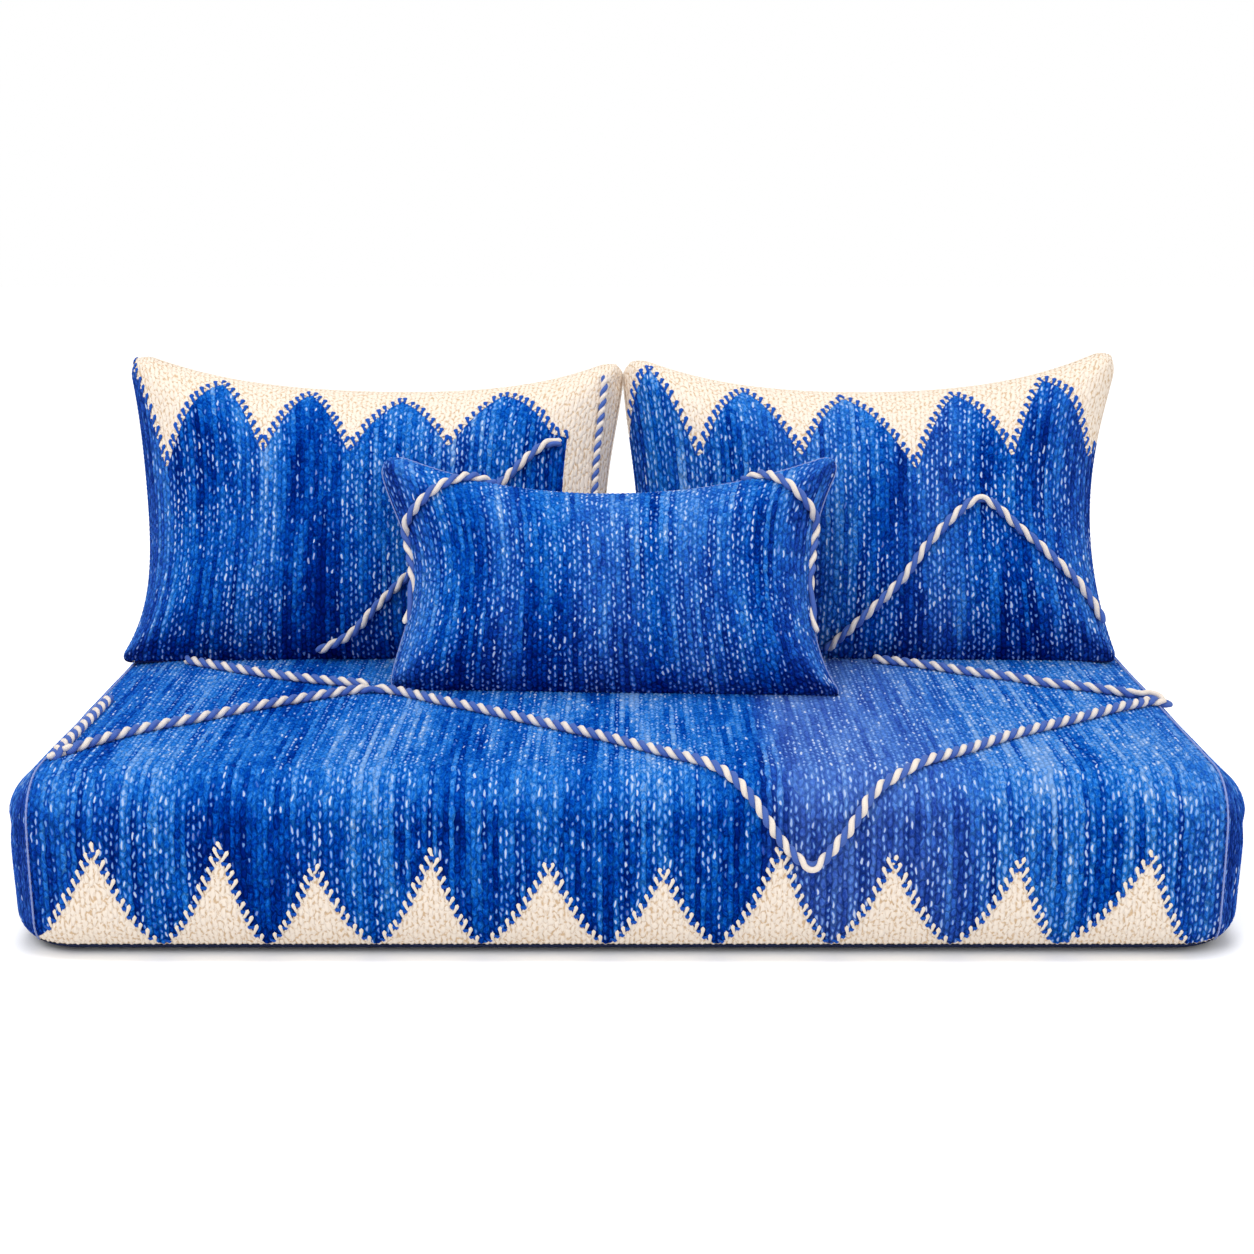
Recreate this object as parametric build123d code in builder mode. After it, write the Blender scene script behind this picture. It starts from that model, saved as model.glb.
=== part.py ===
from build123d import *

import math
import os
from dataclasses import dataclass

# Kilim floor seat: a foam-filled seat block carrying two back cushions and a lumbar cushion.
# Millimetres, +Z up, +X along the seat, -Y towards the sitter, origin on the floor under the seat's centre.

os.makedirs("parts", exist_ok=True)

# Seat block
seat_length = 1250.0
seat_depth = 700.0
seat_height = 185.0
seat_corner = 70.0
seat_top_edge = 50.0
seat_base_edge = 35.0
base_seam_height = 10.0
side_seam_inset = 30.0
wadding_thickness = 8.0
seat_zip_height = 62.0
seat_zip_opening = 960.0

# Cloth and its fits
cloth_thickness = 3.0
sewn_clearance = 0.3
resting_clearance = 0.3
overrun = 20.0

# Cushions
seam_corner = 12.0
seam_lift = 0.8
back_width = 600.0
back_height = 382.0
back_front_depth = 75.0
back_rear_depth = 72.0
back_drawn_top = 45.0
back_drawn_side = 26.0
back_lean = 25.0
back_yaw = 2.0
back_left_seam_x = -302.0
back_right_seam_x = 297.0
back_seam_y = 120.0
back_zip_opening = 300.0
lumbar_width = 508.0
lumbar_height = 280.0
lumbar_front_depth = 64.0
lumbar_rear_depth = 62.0
lumbar_drawn_top = 32.0
lumbar_drawn_side = 22.0
lumbar_lean = 28.0
lumbar_yaw = 3.0
lumbar_seam_x = -12.0
lumbar_seam_y = -32.0
lumbar_top_shift = -12.0
lumbar_zip_opening = 250.0

# Twisted cord, lying sewn down on the cloth
cord_diameter = 8.0
cord_sink = 0.6
cord_edge_share = 1.02
cord_sides = 8
cord_lift = cord_diameter / 2 - cord_sink
cord_run_share = 0.45

# Coil zip
zip_slot_width = 16.0
zip_end_margin = 12.0
tape_thickness = 0.8
tape_sink = 0.3
coil_width = 2.4
coil_height = 2.0
coil_gap = 1.6
stop_length = 3.0
slider_length = 14.0
slider_waist = 7.2
slider_nose_radius = 2.5
plate_thickness = 1.2
flange_thickness = 1.0
running_clearance = 0.25
post_width = 1.0
post_length = 6.0
bail_length = 9.0
bail_width = 2.2
bail_opening_height = 2.2
bail_thickness = 1.2
bail_corner = 1.5
pull_length = 26.0
pull_width = 7.0
pull_thickness = 1.2
pull_eye_length = 6.5
pull_eye_clearance = 0.3
pull_corner = 2.0
pin_diameter = 1.2
pin_clearance = 0.35

# Shape of a filled cushion: levels are shares of its depth, from the seam to the crown
crown_power_share = 0.55
level_shares = (0.0, 0.25, 0.5, 0.65, 0.8, 0.92, 0.985)
zip_level_share = 0.8
front_fullness_share = 2.4
rear_fullness_share = 4.0
corner_round_share = 0.85
base_corner_round_share = 0.42
side_bow_share = 0.12

# Cord routes, chosen by hand: shares of the way from a cloth's middle to its edges, across and then up or back
seat_cord_shares = {
    "seat_cord_lozenge": (
        (-0.932, -0.16), (-0.928, -0.36), (-0.929, -0.54), (-0.931, -0.7), (-0.928, -0.765),
        (-0.913, -0.795), (-0.896, -0.77), (-0.882, -0.7), (-0.866, -0.64), (-0.811, -0.531),
        (-0.746, -0.44), (-0.598, -0.227), (-0.453, -0.061), (-0.331, -0.238), (-0.220, -0.374),
        (-0.044, -0.617), (0.062, -0.786), (0.118, -0.869), (0.164, -0.925), (0.198, -0.994),
        (0.222, -1.053), (0.252, -1.133), (0.285, -1.183), (0.300, -1.183), (0.334, -1.116),
        (0.368, -1.031), (0.391, -0.971), (0.442, -0.914), (0.505, -0.834), (0.624, -0.638),
        (0.736, -0.485), (0.806, -0.391), (0.862, -0.311), (0.915, -0.231), (0.938, -0.206),
        (0.960, -0.185), (0.978, -0.15), (0.957, -0.118), (0.920, -0.128), (0.875, -0.112),
        (0.840, -0.077), (0.798, -0.043), (0.736, 0.046), (0.684, 0.164), (0.595, 0.286),
    ),
    "seat_cord_back": (
        (-0.470, -0.035), (-0.549, 0.05), (-0.660, 0.151), (-0.770, 0.26), (-0.797, 0.288),
    ),
}
cushion_cord_shares = {
    "back_left": {
        "cord_diagonal": (
            (-0.235, -0.958), (-0.149, -0.918), (-0.074, -0.853), (0.008, -0.719), (0.089, -0.611),
            (0.240, -0.40), (0.390, -0.18), (0.537, 0.034), (0.621, 0.196), (0.673, 0.274),
            (0.750, 0.351),
        ),
        "cord_band": (
            (0.955, 0.84), (0.945, 0.62), (0.950, 0.36), (0.955, 0.07), (0.955, -0.25),
            (0.950, -0.58), (0.955, -0.88),
        ),
    },
    "back_right": {
        "cord_chevron": (
            (-0.195, -0.958), (-0.054, -0.783), (0.062, -0.615), (0.135, -0.497), (0.205, -0.347),
            (0.276, -0.236), (0.344, -0.134), (0.442, -0.022), (0.520, -0.093), (0.599, -0.206),
            (0.680, -0.297), (0.758, -0.406), (0.843, -0.518), (0.904, -0.646), (0.941, -0.767),
        ),
    },
    "lumbar": {
        "cord_left": (
            (-0.54, 0.86), (-0.66, 0.86), (-0.79, 0.76), (-0.88, 0.60), (-0.935, 0.42),
            (-0.955, 0.22), (-0.955, 0.03), (-0.950, -0.20), (-0.945, -0.45),
        ),
        "cord_right": (
            (0.58, 0.88), (0.69, 0.87), (0.79, 0.79), (0.88, 0.67), (0.940, 0.53),
            (0.960, 0.40), (0.960, 0.22), (0.950, -0.05), (0.945, -0.30), (0.945, -0.48),
        ),
    },
}


@dataclass
class Cushion:
    """A cushion of two covers sewn along one outline, leaning back on the seat."""

    name: str
    width: float
    height: float
    front_depth: float
    rear_depth: float
    drawn_top: float
    drawn_side: float
    lean: float
    yaw: float
    seam_x: float
    seam_y: float
    top_shift: float
    zip_opening: float

    @property
    def plane(self):
        """The seam's plane, X along the cushion, Y up its height and Z out of its front."""
        turn = math.radians(self.yaw)
        tilt = math.radians(self.lean)
        across = Vector(math.cos(turn), math.sin(turn), 0)
        rearward = Vector(-math.sin(turn), math.cos(turn), 0)
        upward = rearward * math.sin(tilt) + Vector(0, 0, 1) * math.cos(tilt)
        base = Vector(self.seam_x, self.seam_y, seat_height + seam_lift)
        return Plane(
            origin=base + upward * (self.height / 2),
            x_dir=across,
            z_dir=across.cross(upward),
        )

    def seam_point(self, across_share, up_share):
        """A point of the seam's plane, by its shares of the way from the middle to the drawn-in edges."""
        half_width = self.width / 2 - self.drawn_side * (1 - up_share**2)
        half_height = self.height / 2
        if up_share > 0:
            half_height -= self.drawn_top * (1 - across_share**2)
        shift = self.top_shift * (1 + up_share) / 2
        return self.plane.from_local_coords(
            Vector(across_share * half_width + shift, up_share * half_height)
        )

    @property
    def zip_plane(self):
        """The zip's plane on the back, Y up and Z out of the cloth, seen from behind."""
        remain = 1 - zip_level_share ** (1 / crown_power_share)
        drop = -self.height / 2 * math.sqrt(remain)
        out = zip_level_share * self.rear_depth
        rise_rate = zip_level_share ** (1 / crown_power_share - 1) / crown_power_share / self.rear_depth
        slope = self.height / 2 / 2 / math.sqrt(remain) * rise_rate
        seam = self.plane
        along = (seam.y_dir * slope - seam.z_dir).normalized()
        origin = seam.origin + seam.y_dir * drop - seam.z_dir * out
        x_dir = -seam.x_dir
        return Plane(origin=origin, x_dir=x_dir, z_dir=x_dir.cross(along))


def write(piece, name):
    """Label a finished piece and write it to its own file."""
    piece.label = name
    export_step(piece, f"parts/{name}.step")


def seat_block(side_inset, base_inset):
    """The seat's rounded block, moved in by one inset at its sides and top and another at its base."""
    with BuildPart() as block:
        with BuildSketch(Plane.XY.offset(base_inset)):
            RectangleRounded(
                seat_length - 2 * side_inset,
                seat_depth - 2 * side_inset,
                seat_corner - side_inset,
            )
        extrude(amount=seat_height - side_inset - base_inset)
        fillet(block.faces().sort_by(Axis.Z)[-1].edges(), seat_top_edge - side_inset)
        fillet(block.faces().sort_by(Axis.Z)[0].edges(), seat_base_edge - side_inset)
    return block.part


def cushion_half(cushion, side, inset):
    """One lofted half of a cushion, its face moved in by an inset; side is 1 in front and -1 behind."""
    seam = cushion.plane
    depth = (cushion.front_depth if side > 0 else cushion.rear_depth) - inset
    fullness = front_fullness_share if side > 0 else rear_fullness_share
    base_round = corner_round_share if side > 0 else base_corner_round_share
    half_width = cushion.width / 2 - inset
    half_height = cushion.height / 2 - inset
    with BuildPart() as half:
        for level in level_shares:
            fill = level ** (1 / crown_power_share)
            reach = (1 - fill) ** (1 / fullness)
            rise = math.sqrt(1 - fill)
            loose = (1 - math.sqrt(fill)) ** 2
            top = (half_height - cushion.drawn_top) * rise
            base = -half_height * rise
            flank = (half_width - cushion.drawn_side) * reach
            rounding = top * math.sqrt(fill)
            side_bow = side_bow_share * rounding - cushion.drawn_side * loose
            top_bow = side_bow_share * rounding - cushion.drawn_top * loose
            corner_x = flank - side_bow
            corner_y = top - top_bow
            middle = (corner_y + base) / 2
            shift = cushion.top_shift * rise
            seam_round = (seam_corner - inset) * (1 - fill)
            with BuildSketch(seam.offset(side * level * depth)) as outline:
                with BuildLine():
                    top_left = (shift - corner_x, corner_y)
                    top_right = (shift + corner_x, corner_y)
                    ThreePointArc(top_left, (shift, top), top_right)
                    ThreePointArc(top_right, (shift / 2 + flank, middle), (corner_x, base))
                    Line((corner_x, base), (-corner_x, base))
                    ThreePointArc((-corner_x, base), (shift / 2 - flank, middle), top_left)
                make_face()
                lower = outline.vertices().group_by(Axis.Y)[0]
                fillet(lower, seam_round + base_round * rounding)
                upper = outline.vertices().group_by(Axis.Y)[-1]
                fillet(upper, seam_round + corner_round_share * rounding)
        loft()
        split(bisect_by=Plane.XY.offset(seat_height + resting_clearance + inset), keep=Keep.TOP)
    return half.part


def past_edge(length, flat):
    """How far out and down a length of cloth, with a cord on it, lands when it rounds the top edge."""
    over = abs(length) - flat
    radius = (seat_top_edge + cord_lift) * cord_edge_share
    if over <= 0:
        return length, 0
    angle = min(over / seat_top_edge, math.pi / 2)
    hanging = max(over - seat_top_edge * math.pi / 2, 0)
    out = flat + radius * math.sin(angle)
    return math.copysign(out, length), radius * (1 - math.cos(angle)) + hanging


def on_seat(across_share, deep_share):
    """A cord's centre on the seat's cloth, by shares of the cloth's way from the middle to the edges."""
    x, side_drop = past_edge(across_share * seat_length / 2, seat_length / 2 - seat_top_edge)
    y, front_drop = past_edge(deep_share * seat_depth / 2, seat_depth / 2 - seat_top_edge)
    return Vector(x, y, seat_height + cord_lift - side_drop - front_drop)


def on_cover(cushion, cover, across_share, up_share):
    """A cord's centre on a cushion's front cover, straight out from a point of the seam's plane."""
    foot = cushion.seam_point(across_share, up_share)
    outward = cushion.plane.z_dir
    meetings = cover.shell().find_intersection_points(Axis(foot, outward))
    place, normal = max(meetings, key=lambda meeting: (meeting[0] - foot).dot(outward))
    return place + normal * math.copysign(cord_lift, normal.dot(outward))


def sewn_cord(points):
    """A cord through the corner points of its route, each bend as wide as its runs allow."""
    radii = []
    for before, here, after in zip(points, points[1:], points[2:]):
        run_in = here - before
        run_out = after - here
        turn = math.radians(run_in.get_angle(run_out))
        radii.append(cord_run_share * min(run_in.length, run_out.length) / math.tan(turn / 2))
    with BuildPart() as cord:
        with BuildLine() as route:
            FilletPolyline(*points, radius=radii)
        path = route.wire()
        with BuildSketch(Plane(origin=path @ 0, z_dir=path % 0)) as section:
            RegularPolygon(cord_diameter / 2, cord_sides)
        sweep()
    swept = cord.part.volume / section.sketch.area
    print(f"cord of {path.length:.0f} mm, {swept:.0f} by its volume, tightest bend {min(radii):.1f} mm")
    return cord.part


def zip_fastener(name, plane, opening):
    """A coil zip let into a slot, its slider at the closed end; plane is X along and Z outwards."""
    edge = coil_gap / 2
    tape_length = opening + 2 * zip_end_margin
    coil_top = coil_height - tape_sink
    for side, place in ((1, "upper"), (-1, "lower")):
        with BuildPart() as tape:
            with BuildSketch(plane.offset(-tape_sink - tape_thickness)):
                with Locations((0, side * (edge + zip_slot_width / 2) / 2)):
                    Rectangle(tape_length, zip_slot_width / 2 - edge)
            extrude(amount=tape_thickness)
        write(tape.part, f"{name}_zip_tape_{place}")
        with BuildPart() as coil:
            with BuildSketch(plane.offset(-tape_sink)):
                with Locations((0, side * (edge + coil_width / 2))):
                    Rectangle(opening, coil_width)
            extrude(amount=coil_height)
            crown = coil.edges().filter_by(Axis(plane.origin, plane.x_dir))
            crest = crown.group_by(Axis(plane.origin, plane.z_dir))[-1]
            chamfer(crest, coil_height / 4)
        write(coil.part, f"{name}_zip_coil_{place}")

    with BuildPart() as stops:
        with BuildSketch(plane.offset(-tape_sink)):
            with Locations(
                ((opening + stop_length) / 2, 0),
                (-(opening + stop_length) / 2, 0),
            ):
                RectangleRounded(stop_length, 2 * (edge + coil_width), stop_length / 4)
        extrude(amount=coil_height)
    write(stops.part, f"{name}_zip_stops")

    slider_half = edge + coil_width + running_clearance + flange_thickness
    plate_base = coil_top + running_clearance
    plate_top = plate_base + plate_thickness
    floor_top = -tape_sink - tape_thickness - running_clearance
    rest = Vector(opening / 2 - slider_length / 2 - sewn_clearance, 0)
    side_plane = Plane(origin=plane.origin, x_dir=plane.x_dir, z_dir=-plane.y_dir)
    with BuildPart() as slider:
        with BuildSketch(plane.offset(plate_base)) as shield:
            with BuildLine():
                Polyline(
                    (rest.X - slider_length / 2, -slider_half),
                    (rest.X, -slider_half),
                    (rest.X + slider_length / 2, -slider_waist / 2),
                    (rest.X + slider_length / 2, slider_waist / 2),
                    (rest.X, slider_half),
                    (rest.X - slider_length / 2, slider_half),
                    close=True,
                )
            make_face()
            nose = shield.vertices().group_by(Axis.X)[-1]
            fillet(nose, slider_nose_radius)
        extrude(amount=plate_thickness)
        for side in (1, -1):
            with BuildSketch(plane.offset(-tape_sink + running_clearance)):
                with Locations(
                    (rest.X - slider_length / 4, side * (slider_half - flange_thickness / 2))
                ):
                    Rectangle(slider_length / 2, flange_thickness)
            extrude(amount=plate_base + tape_sink - running_clearance)
        with BuildSketch(plane.offset(floor_top - plate_thickness)):
            with Locations((rest.X, 0)):
                RectangleRounded(slider_length, 2 * slider_half, slider_nose_radius)
        extrude(amount=plate_thickness)
        with BuildSketch(plane.offset(floor_top)):
            with Locations((rest.X, 0)):
                RectangleRounded(post_length, post_width, post_width / 4)
        extrude(amount=plate_base - floor_top)
        with BuildSketch(side_plane) as bail:
            with Locations((rest.X, plate_top + (bail_opening_height + bail_thickness) / 2)):
                Rectangle(bail_length, bail_opening_height + bail_thickness)
            fillet(bail.vertices().group_by(Axis.Y)[-1], bail_corner)
            with Locations((rest.X, plate_top + bail_opening_height / 2)):
                Rectangle(bail_length - 2 * bail_thickness, bail_opening_height, mode=Mode.SUBTRACT)
        extrude(amount=bail_width / 2, both=True)
    write(slider.part, f"{name}_zip_slider")

    pin_height = plate_top + pin_clearance + pin_diameter / 2
    eye_width = bail_width + 2 * pull_eye_clearance
    with BuildPart() as pull:
        with BuildSketch(plane.offset(pin_height - pull_thickness / 2)) as tab:
            with Locations((rest.X - pull_length / 2, 0)):
                Rectangle(pull_length, pull_width)
            fillet(tab.vertices().group_by(Axis.X)[0], pull_corner)
            with Locations((rest.X - pull_eye_length / 2, 0)):
                Rectangle(pull_eye_length, eye_width, mode=Mode.SUBTRACT)
        extrude(amount=pull_thickness)
        with BuildSketch(side_plane):
            with Locations((rest.X, pin_height)):
                Circle(pin_diameter / 2)
        extrude(amount=pull_width / 2, both=True)
    write(pull.part, f"{name}_zip_pull")

    pin = plane.from_local_coords(Vector(rest.X, 0, pin_height))
    travel = opening - slider_length - 2 * sewn_clearance
    print(f"{name} pin {tuple(pin)} turns about {tuple(plane.y_dir)}")
    print(f"{name} slider slides {travel:.2f} along {tuple(-plane.x_dir)}")


def cut_slot(plane, opening):
    """The slot through the cloth that holds a zip's tapes."""
    with BuildPart() as slot:
        with BuildSketch(plane.offset(-cloth_thickness)):
            Rectangle(opening + 2 * zip_end_margin, zip_slot_width)
        extrude(amount=cloth_thickness + overrun)
    return slot.part


# Seat covers: one shell, cut along its seams
seat_zip_plane = Plane(
    origin=(0, seat_depth / 2, seat_zip_height),
    x_dir=(-1, 0, 0),
    z_dir=(0, 1, 0),
)
seat_zip_slot = cut_slot(seat_zip_plane, seat_zip_opening)
side_seam = seat_length / 2 - side_seam_inset
seat_inner = seat_block(cloth_thickness, cloth_thickness)

with BuildPart() as seat_shell:
    add(seat_block(0, 0))
    add(seat_inner, mode=Mode.SUBTRACT)

with BuildPart() as seat_base_panel:
    add(seat_shell.part)
    split(bisect_by=Plane.XY.offset(base_seam_height), keep=Keep.BOTTOM)
write(seat_base_panel.part, "seat_base_panel")

with BuildPart() as seat_side_right:
    add(seat_shell.part)
    split(bisect_by=Plane.XY.offset(base_seam_height), keep=Keep.TOP)
    split(bisect_by=Plane.YZ.offset(side_seam), keep=Keep.TOP)
write(seat_side_right.part, "seat_side_panel_right")

with BuildPart() as seat_side_left:
    add(seat_side_right.part)
    mirror(about=Plane.YZ, mode=Mode.REPLACE)
write(seat_side_left.part, "seat_side_panel_left")

with BuildPart() as rear_strip_space:
    with Locations((0, seat_depth / 2, base_seam_height)):
        Box(
            2 * side_seam,
            2 * seat_base_edge,
            seat_zip_height - base_seam_height,
            align=(Align.CENTER, Align.CENTER, Align.MIN),
        )

with BuildPart() as seat_wrap:
    add(seat_shell.part)
    split(bisect_by=Plane.XY.offset(base_seam_height), keep=Keep.TOP)
    split(bisect_by=Plane.YZ.offset(side_seam), keep=Keep.BOTTOM)
    split(bisect_by=Plane.YZ.offset(-side_seam), keep=Keep.TOP)
    add(rear_strip_space.part, mode=Mode.SUBTRACT)
    add(seat_zip_slot, mode=Mode.SUBTRACT)
write(seat_wrap.part, "seat_wrap_panel")

with BuildPart() as seat_rear_strip:
    add(seat_shell.part)
    add(rear_strip_space.part, mode=Mode.INTERSECT)
    add(seat_zip_slot, mode=Mode.SUBTRACT)
write(seat_rear_strip.part, "seat_rear_strip")

# Seat filling: wadding over the foam's top and sides, foam down to the base cloth
wadding_inset = cloth_thickness + sewn_clearance
foam_inset = wadding_inset + wadding_thickness + sewn_clearance

with BuildPart() as seat_wadding:
    add(seat_block(wadding_inset, wadding_inset))
    add(seat_block(wadding_inset + wadding_thickness, wadding_inset), mode=Mode.SUBTRACT)
    split(bisect_by=Plane.XY.offset(seat_base_edge), keep=Keep.TOP)
write(seat_wadding.part, "seat_wadding")
write(seat_block(foam_inset, wadding_inset), "seat_foam_core")
zip_fastener("seat", seat_zip_plane, seat_zip_opening)

for cord_name, cord_shares in seat_cord_shares.items():
    write(sewn_cord([on_seat(*share) for share in cord_shares]), cord_name)

# Upright cushions
back_left = Cushion(
    "back_left", back_width, back_height, back_front_depth, back_rear_depth, back_drawn_top,
    back_drawn_side, back_lean, back_yaw, back_left_seam_x, back_seam_y, 0, back_zip_opening,
)
back_right = Cushion(
    "back_right", back_width, back_height, back_front_depth, back_rear_depth, back_drawn_top,
    back_drawn_side, back_lean, -back_yaw, back_right_seam_x, back_seam_y, 0, back_zip_opening,
)
lumbar = Cushion(
    "lumbar", lumbar_width, lumbar_height, lumbar_front_depth, lumbar_rear_depth, lumbar_drawn_top,
    lumbar_drawn_side, lumbar_lean, -lumbar_yaw, lumbar_seam_x, lumbar_seam_y, lumbar_top_shift,
    lumbar_zip_opening,
)
for cushion in (back_left, back_right, lumbar):
    with BuildPart() as front:
        add(cushion_half(cushion, 1, 0))
        add(cushion_half(cushion, 1, cloth_thickness), mode=Mode.SUBTRACT)
    write(front.part, f"{cushion.name}_cover_front")
    for cord_name, cord_shares in cushion_cord_shares[cushion.name].items():
        route_points = [on_cover(cushion, front.part, *share) for share in cord_shares]
        write(sewn_cord(route_points), f"{cushion.name}_{cord_name}")

    with BuildPart() as rear:
        add(cushion_half(cushion, -1, 0))
        add(cushion_half(cushion, -1, cloth_thickness), mode=Mode.SUBTRACT)
        add(cut_slot(cushion.zip_plane, cushion.zip_opening), mode=Mode.SUBTRACT)
    opening_plane = Plane(
        origin=cushion.zip_plane.origin,
        x_dir=cushion.zip_plane.x_dir,
        z_dir=cushion.zip_plane.y_dir,
    )
    for place, keep in (("upper", Keep.TOP), ("lower", Keep.BOTTOM)):
        with BuildPart() as panel:
            add(rear.part)
            split(bisect_by=opening_plane, keep=keep)
        write(panel.part, f"{cushion.name}_cover_back_{place}")

    with BuildPart() as insert:
        add(cushion_half(cushion, 1, cloth_thickness + sewn_clearance))
        add(cushion_half(cushion, -1, cloth_thickness + sewn_clearance))
    write(insert.part, f"{cushion.name}_insert")
    zip_fastener(cushion.name, cushion.zip_plane, cushion.zip_opening)
    print(f"{cushion.name} seam plane {tuple(cushion.plane.origin)} front {tuple(cushion.plane.z_dir)}")
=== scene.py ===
"""Dresses a kilim floor seat: a thick seat block, two back cushions and a lumbar cushion.

Everything is in metres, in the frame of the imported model: X along the seat, -Y towards the sitter, Z up.
"""

import logging
import math
from dataclasses import dataclass, field
from enum import Enum
from typing import Callable, Optional, Sequence, Union

import bpy
import numpy as np
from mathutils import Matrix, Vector


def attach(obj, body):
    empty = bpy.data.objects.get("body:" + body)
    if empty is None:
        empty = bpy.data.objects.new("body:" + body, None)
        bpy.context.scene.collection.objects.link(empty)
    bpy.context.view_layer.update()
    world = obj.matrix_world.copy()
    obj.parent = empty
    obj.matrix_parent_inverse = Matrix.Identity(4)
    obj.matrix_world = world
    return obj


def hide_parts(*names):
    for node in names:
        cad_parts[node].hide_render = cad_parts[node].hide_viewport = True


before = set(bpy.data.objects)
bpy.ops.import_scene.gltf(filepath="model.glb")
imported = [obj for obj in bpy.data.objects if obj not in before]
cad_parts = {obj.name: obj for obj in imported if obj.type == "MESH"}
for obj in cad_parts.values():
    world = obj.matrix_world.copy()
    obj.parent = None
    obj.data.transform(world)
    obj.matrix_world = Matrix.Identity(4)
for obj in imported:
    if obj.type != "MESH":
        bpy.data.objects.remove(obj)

log = logging.getLogger("floor_seat")
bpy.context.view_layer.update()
MM = 0.001
CM = 0.01

Array = np.ndarray
Colour = tuple[float, float, float]
Finishes = dict[str, bpy.types.Material]
Form = Callable[[np.ndarray, np.ndarray], np.ndarray]
Material = bpy.types.Material
Socket = bpy.types.NodeSocket
Share = tuple[float, float]


# Small sums on arrays

def unit(vectors: Array) -> Array:
    """Vectors made one long: each divided by the root of the sum of its squares."""
    return vectors / np.maximum(np.linalg.norm(vectors, axis=-1, keepdims=True), 1e-12)


def smooth_step(value: Array, low: float, high: float) -> Array:
    """A rise from 0 at low to 1 at high: t squared times three less twice t, t being the share of the way."""
    share = np.clip((value - low) / (high - low), 0.0, 1.0)
    return share * share * (3.0 - 2.0 * share)


def resampled(grid: Array, rows: Array, columns: Array) -> Array:
    """Reads a grid between its points by cubic curves through four neighbours, rows first, then columns.

    Args:
        grid: Values on a grid, with any number of channels last.
        rows: Wanted row places, counted in the grid's own rows.
        columns: Wanted column places, counted likewise.

    Returns:
        The values at every wanted row and column.
    """
    for axis, places in ((0, rows), (1, columns)):
        last = grid.shape[axis] - 1
        start = np.clip(np.floor(places).astype(int), 0, last - 1)
        share = places - start
        square, cube = share**2, share**3
        weights = (
            (-share + 2 * square - cube) / 2,
            (2 - 5 * square + 3 * cube) / 2,
            (share + 4 * square - 3 * cube) / 2,
            (cube - square) / 2,
        )
        shape = [1] * grid.ndim
        shape[axis] = -1
        grid = sum(
            weight.reshape(shape) * np.take(grid, np.clip(start + offset, 0, last), axis=axis)
            for offset, weight in zip((-1, 0, 1, 2), weights)
        )
    return grid


def undulation(across: Array, up: Array, seed: int, wave: float) -> Array:
    """Slow unevenness from -1 to 1: the mean of eight plane sine waves.

    Args:
        across: Places across, in metres.
        up: Places up, in metres.
        seed: Seed of the waves' directions, lengths and phases.
        wave: The usual wavelength.

    Returns:
        The unevenness at each place.
    """
    draw = np.random.default_rng(seed)
    total = np.zeros(np.broadcast(across, up).shape)
    waves = 8
    for _ in range(waves):
        angle, phase = draw.uniform(0, 2 * math.pi, 2)
        number = 2 * math.pi / (wave * draw.uniform(0.7, 1.6))
        total = total + np.sin(number * (across * math.cos(angle) + up * math.sin(angle)) + phase)
    return total / waves


def run_along(points: Array) -> Array:
    """Length of a line up to each of its points: the running sum of the steps between them."""
    return np.concatenate([[0], np.cumsum(np.linalg.norm(np.diff(points, axis=0), axis=1))])


def read_along(places: Array, run: Array, values: Array) -> Array:
    """Vectors read at places along a line, by straight lines between the ones at its points."""
    return np.stack([np.interp(places, run, channel) for channel in values.T], 1)


def grid_normals(points: Array) -> Array:
    """Normals of a grid of points: the cross product of its slope along a row and its slope up a column."""
    return unit(np.cross(np.gradient(points, axis=1), np.gradient(points, axis=0)))


def grid_faces(rows: int, columns: int) -> Array:
    """Corner numbers of a grid's faces, turning so that they face along row slope times column slope."""
    first = np.arange((rows - 1) * columns).reshape(rows - 1, columns)[:, :-1].ravel()
    return np.stack([first, first + 1, first + columns + 1, first + columns], axis=1)


def ring_faces(rings: int, sides: int) -> Array:
    """Corner numbers of the faces between closed rings of a tube, facing away from its middle."""
    ring, side = np.divmod(np.arange((rings - 1) * sides), sides)
    here = ring * sides + side
    beside = ring * sides + (side + 1) % sides
    return np.stack([here, beside, beside + sides, here + sides], axis=1)


def carried(
    path: Array, across: Array, up: Array, radii: Array, sides: int
) -> Array:
    """Carries a round profile along a path: centre plus radius times (cosine of up plus sine of across).

    Args:
        path: Centre points.
        across: The profile's sideways direction at each centre.
        up: The profile's upward direction at each centre.
        radii: The profile's radius at each centre.
        sides: How many points the profile has.

    Returns:
        Points as rings, one ring per centre.
    """
    turn = np.arange(sides) * 2 * math.pi / sides
    ring = np.cos(turn)[:, None] * up[..., None, :] - np.sin(turn)[:, None] * across[..., None, :]
    return path[..., None, :] + radii[..., None, None] * ring


# Meshes

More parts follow.
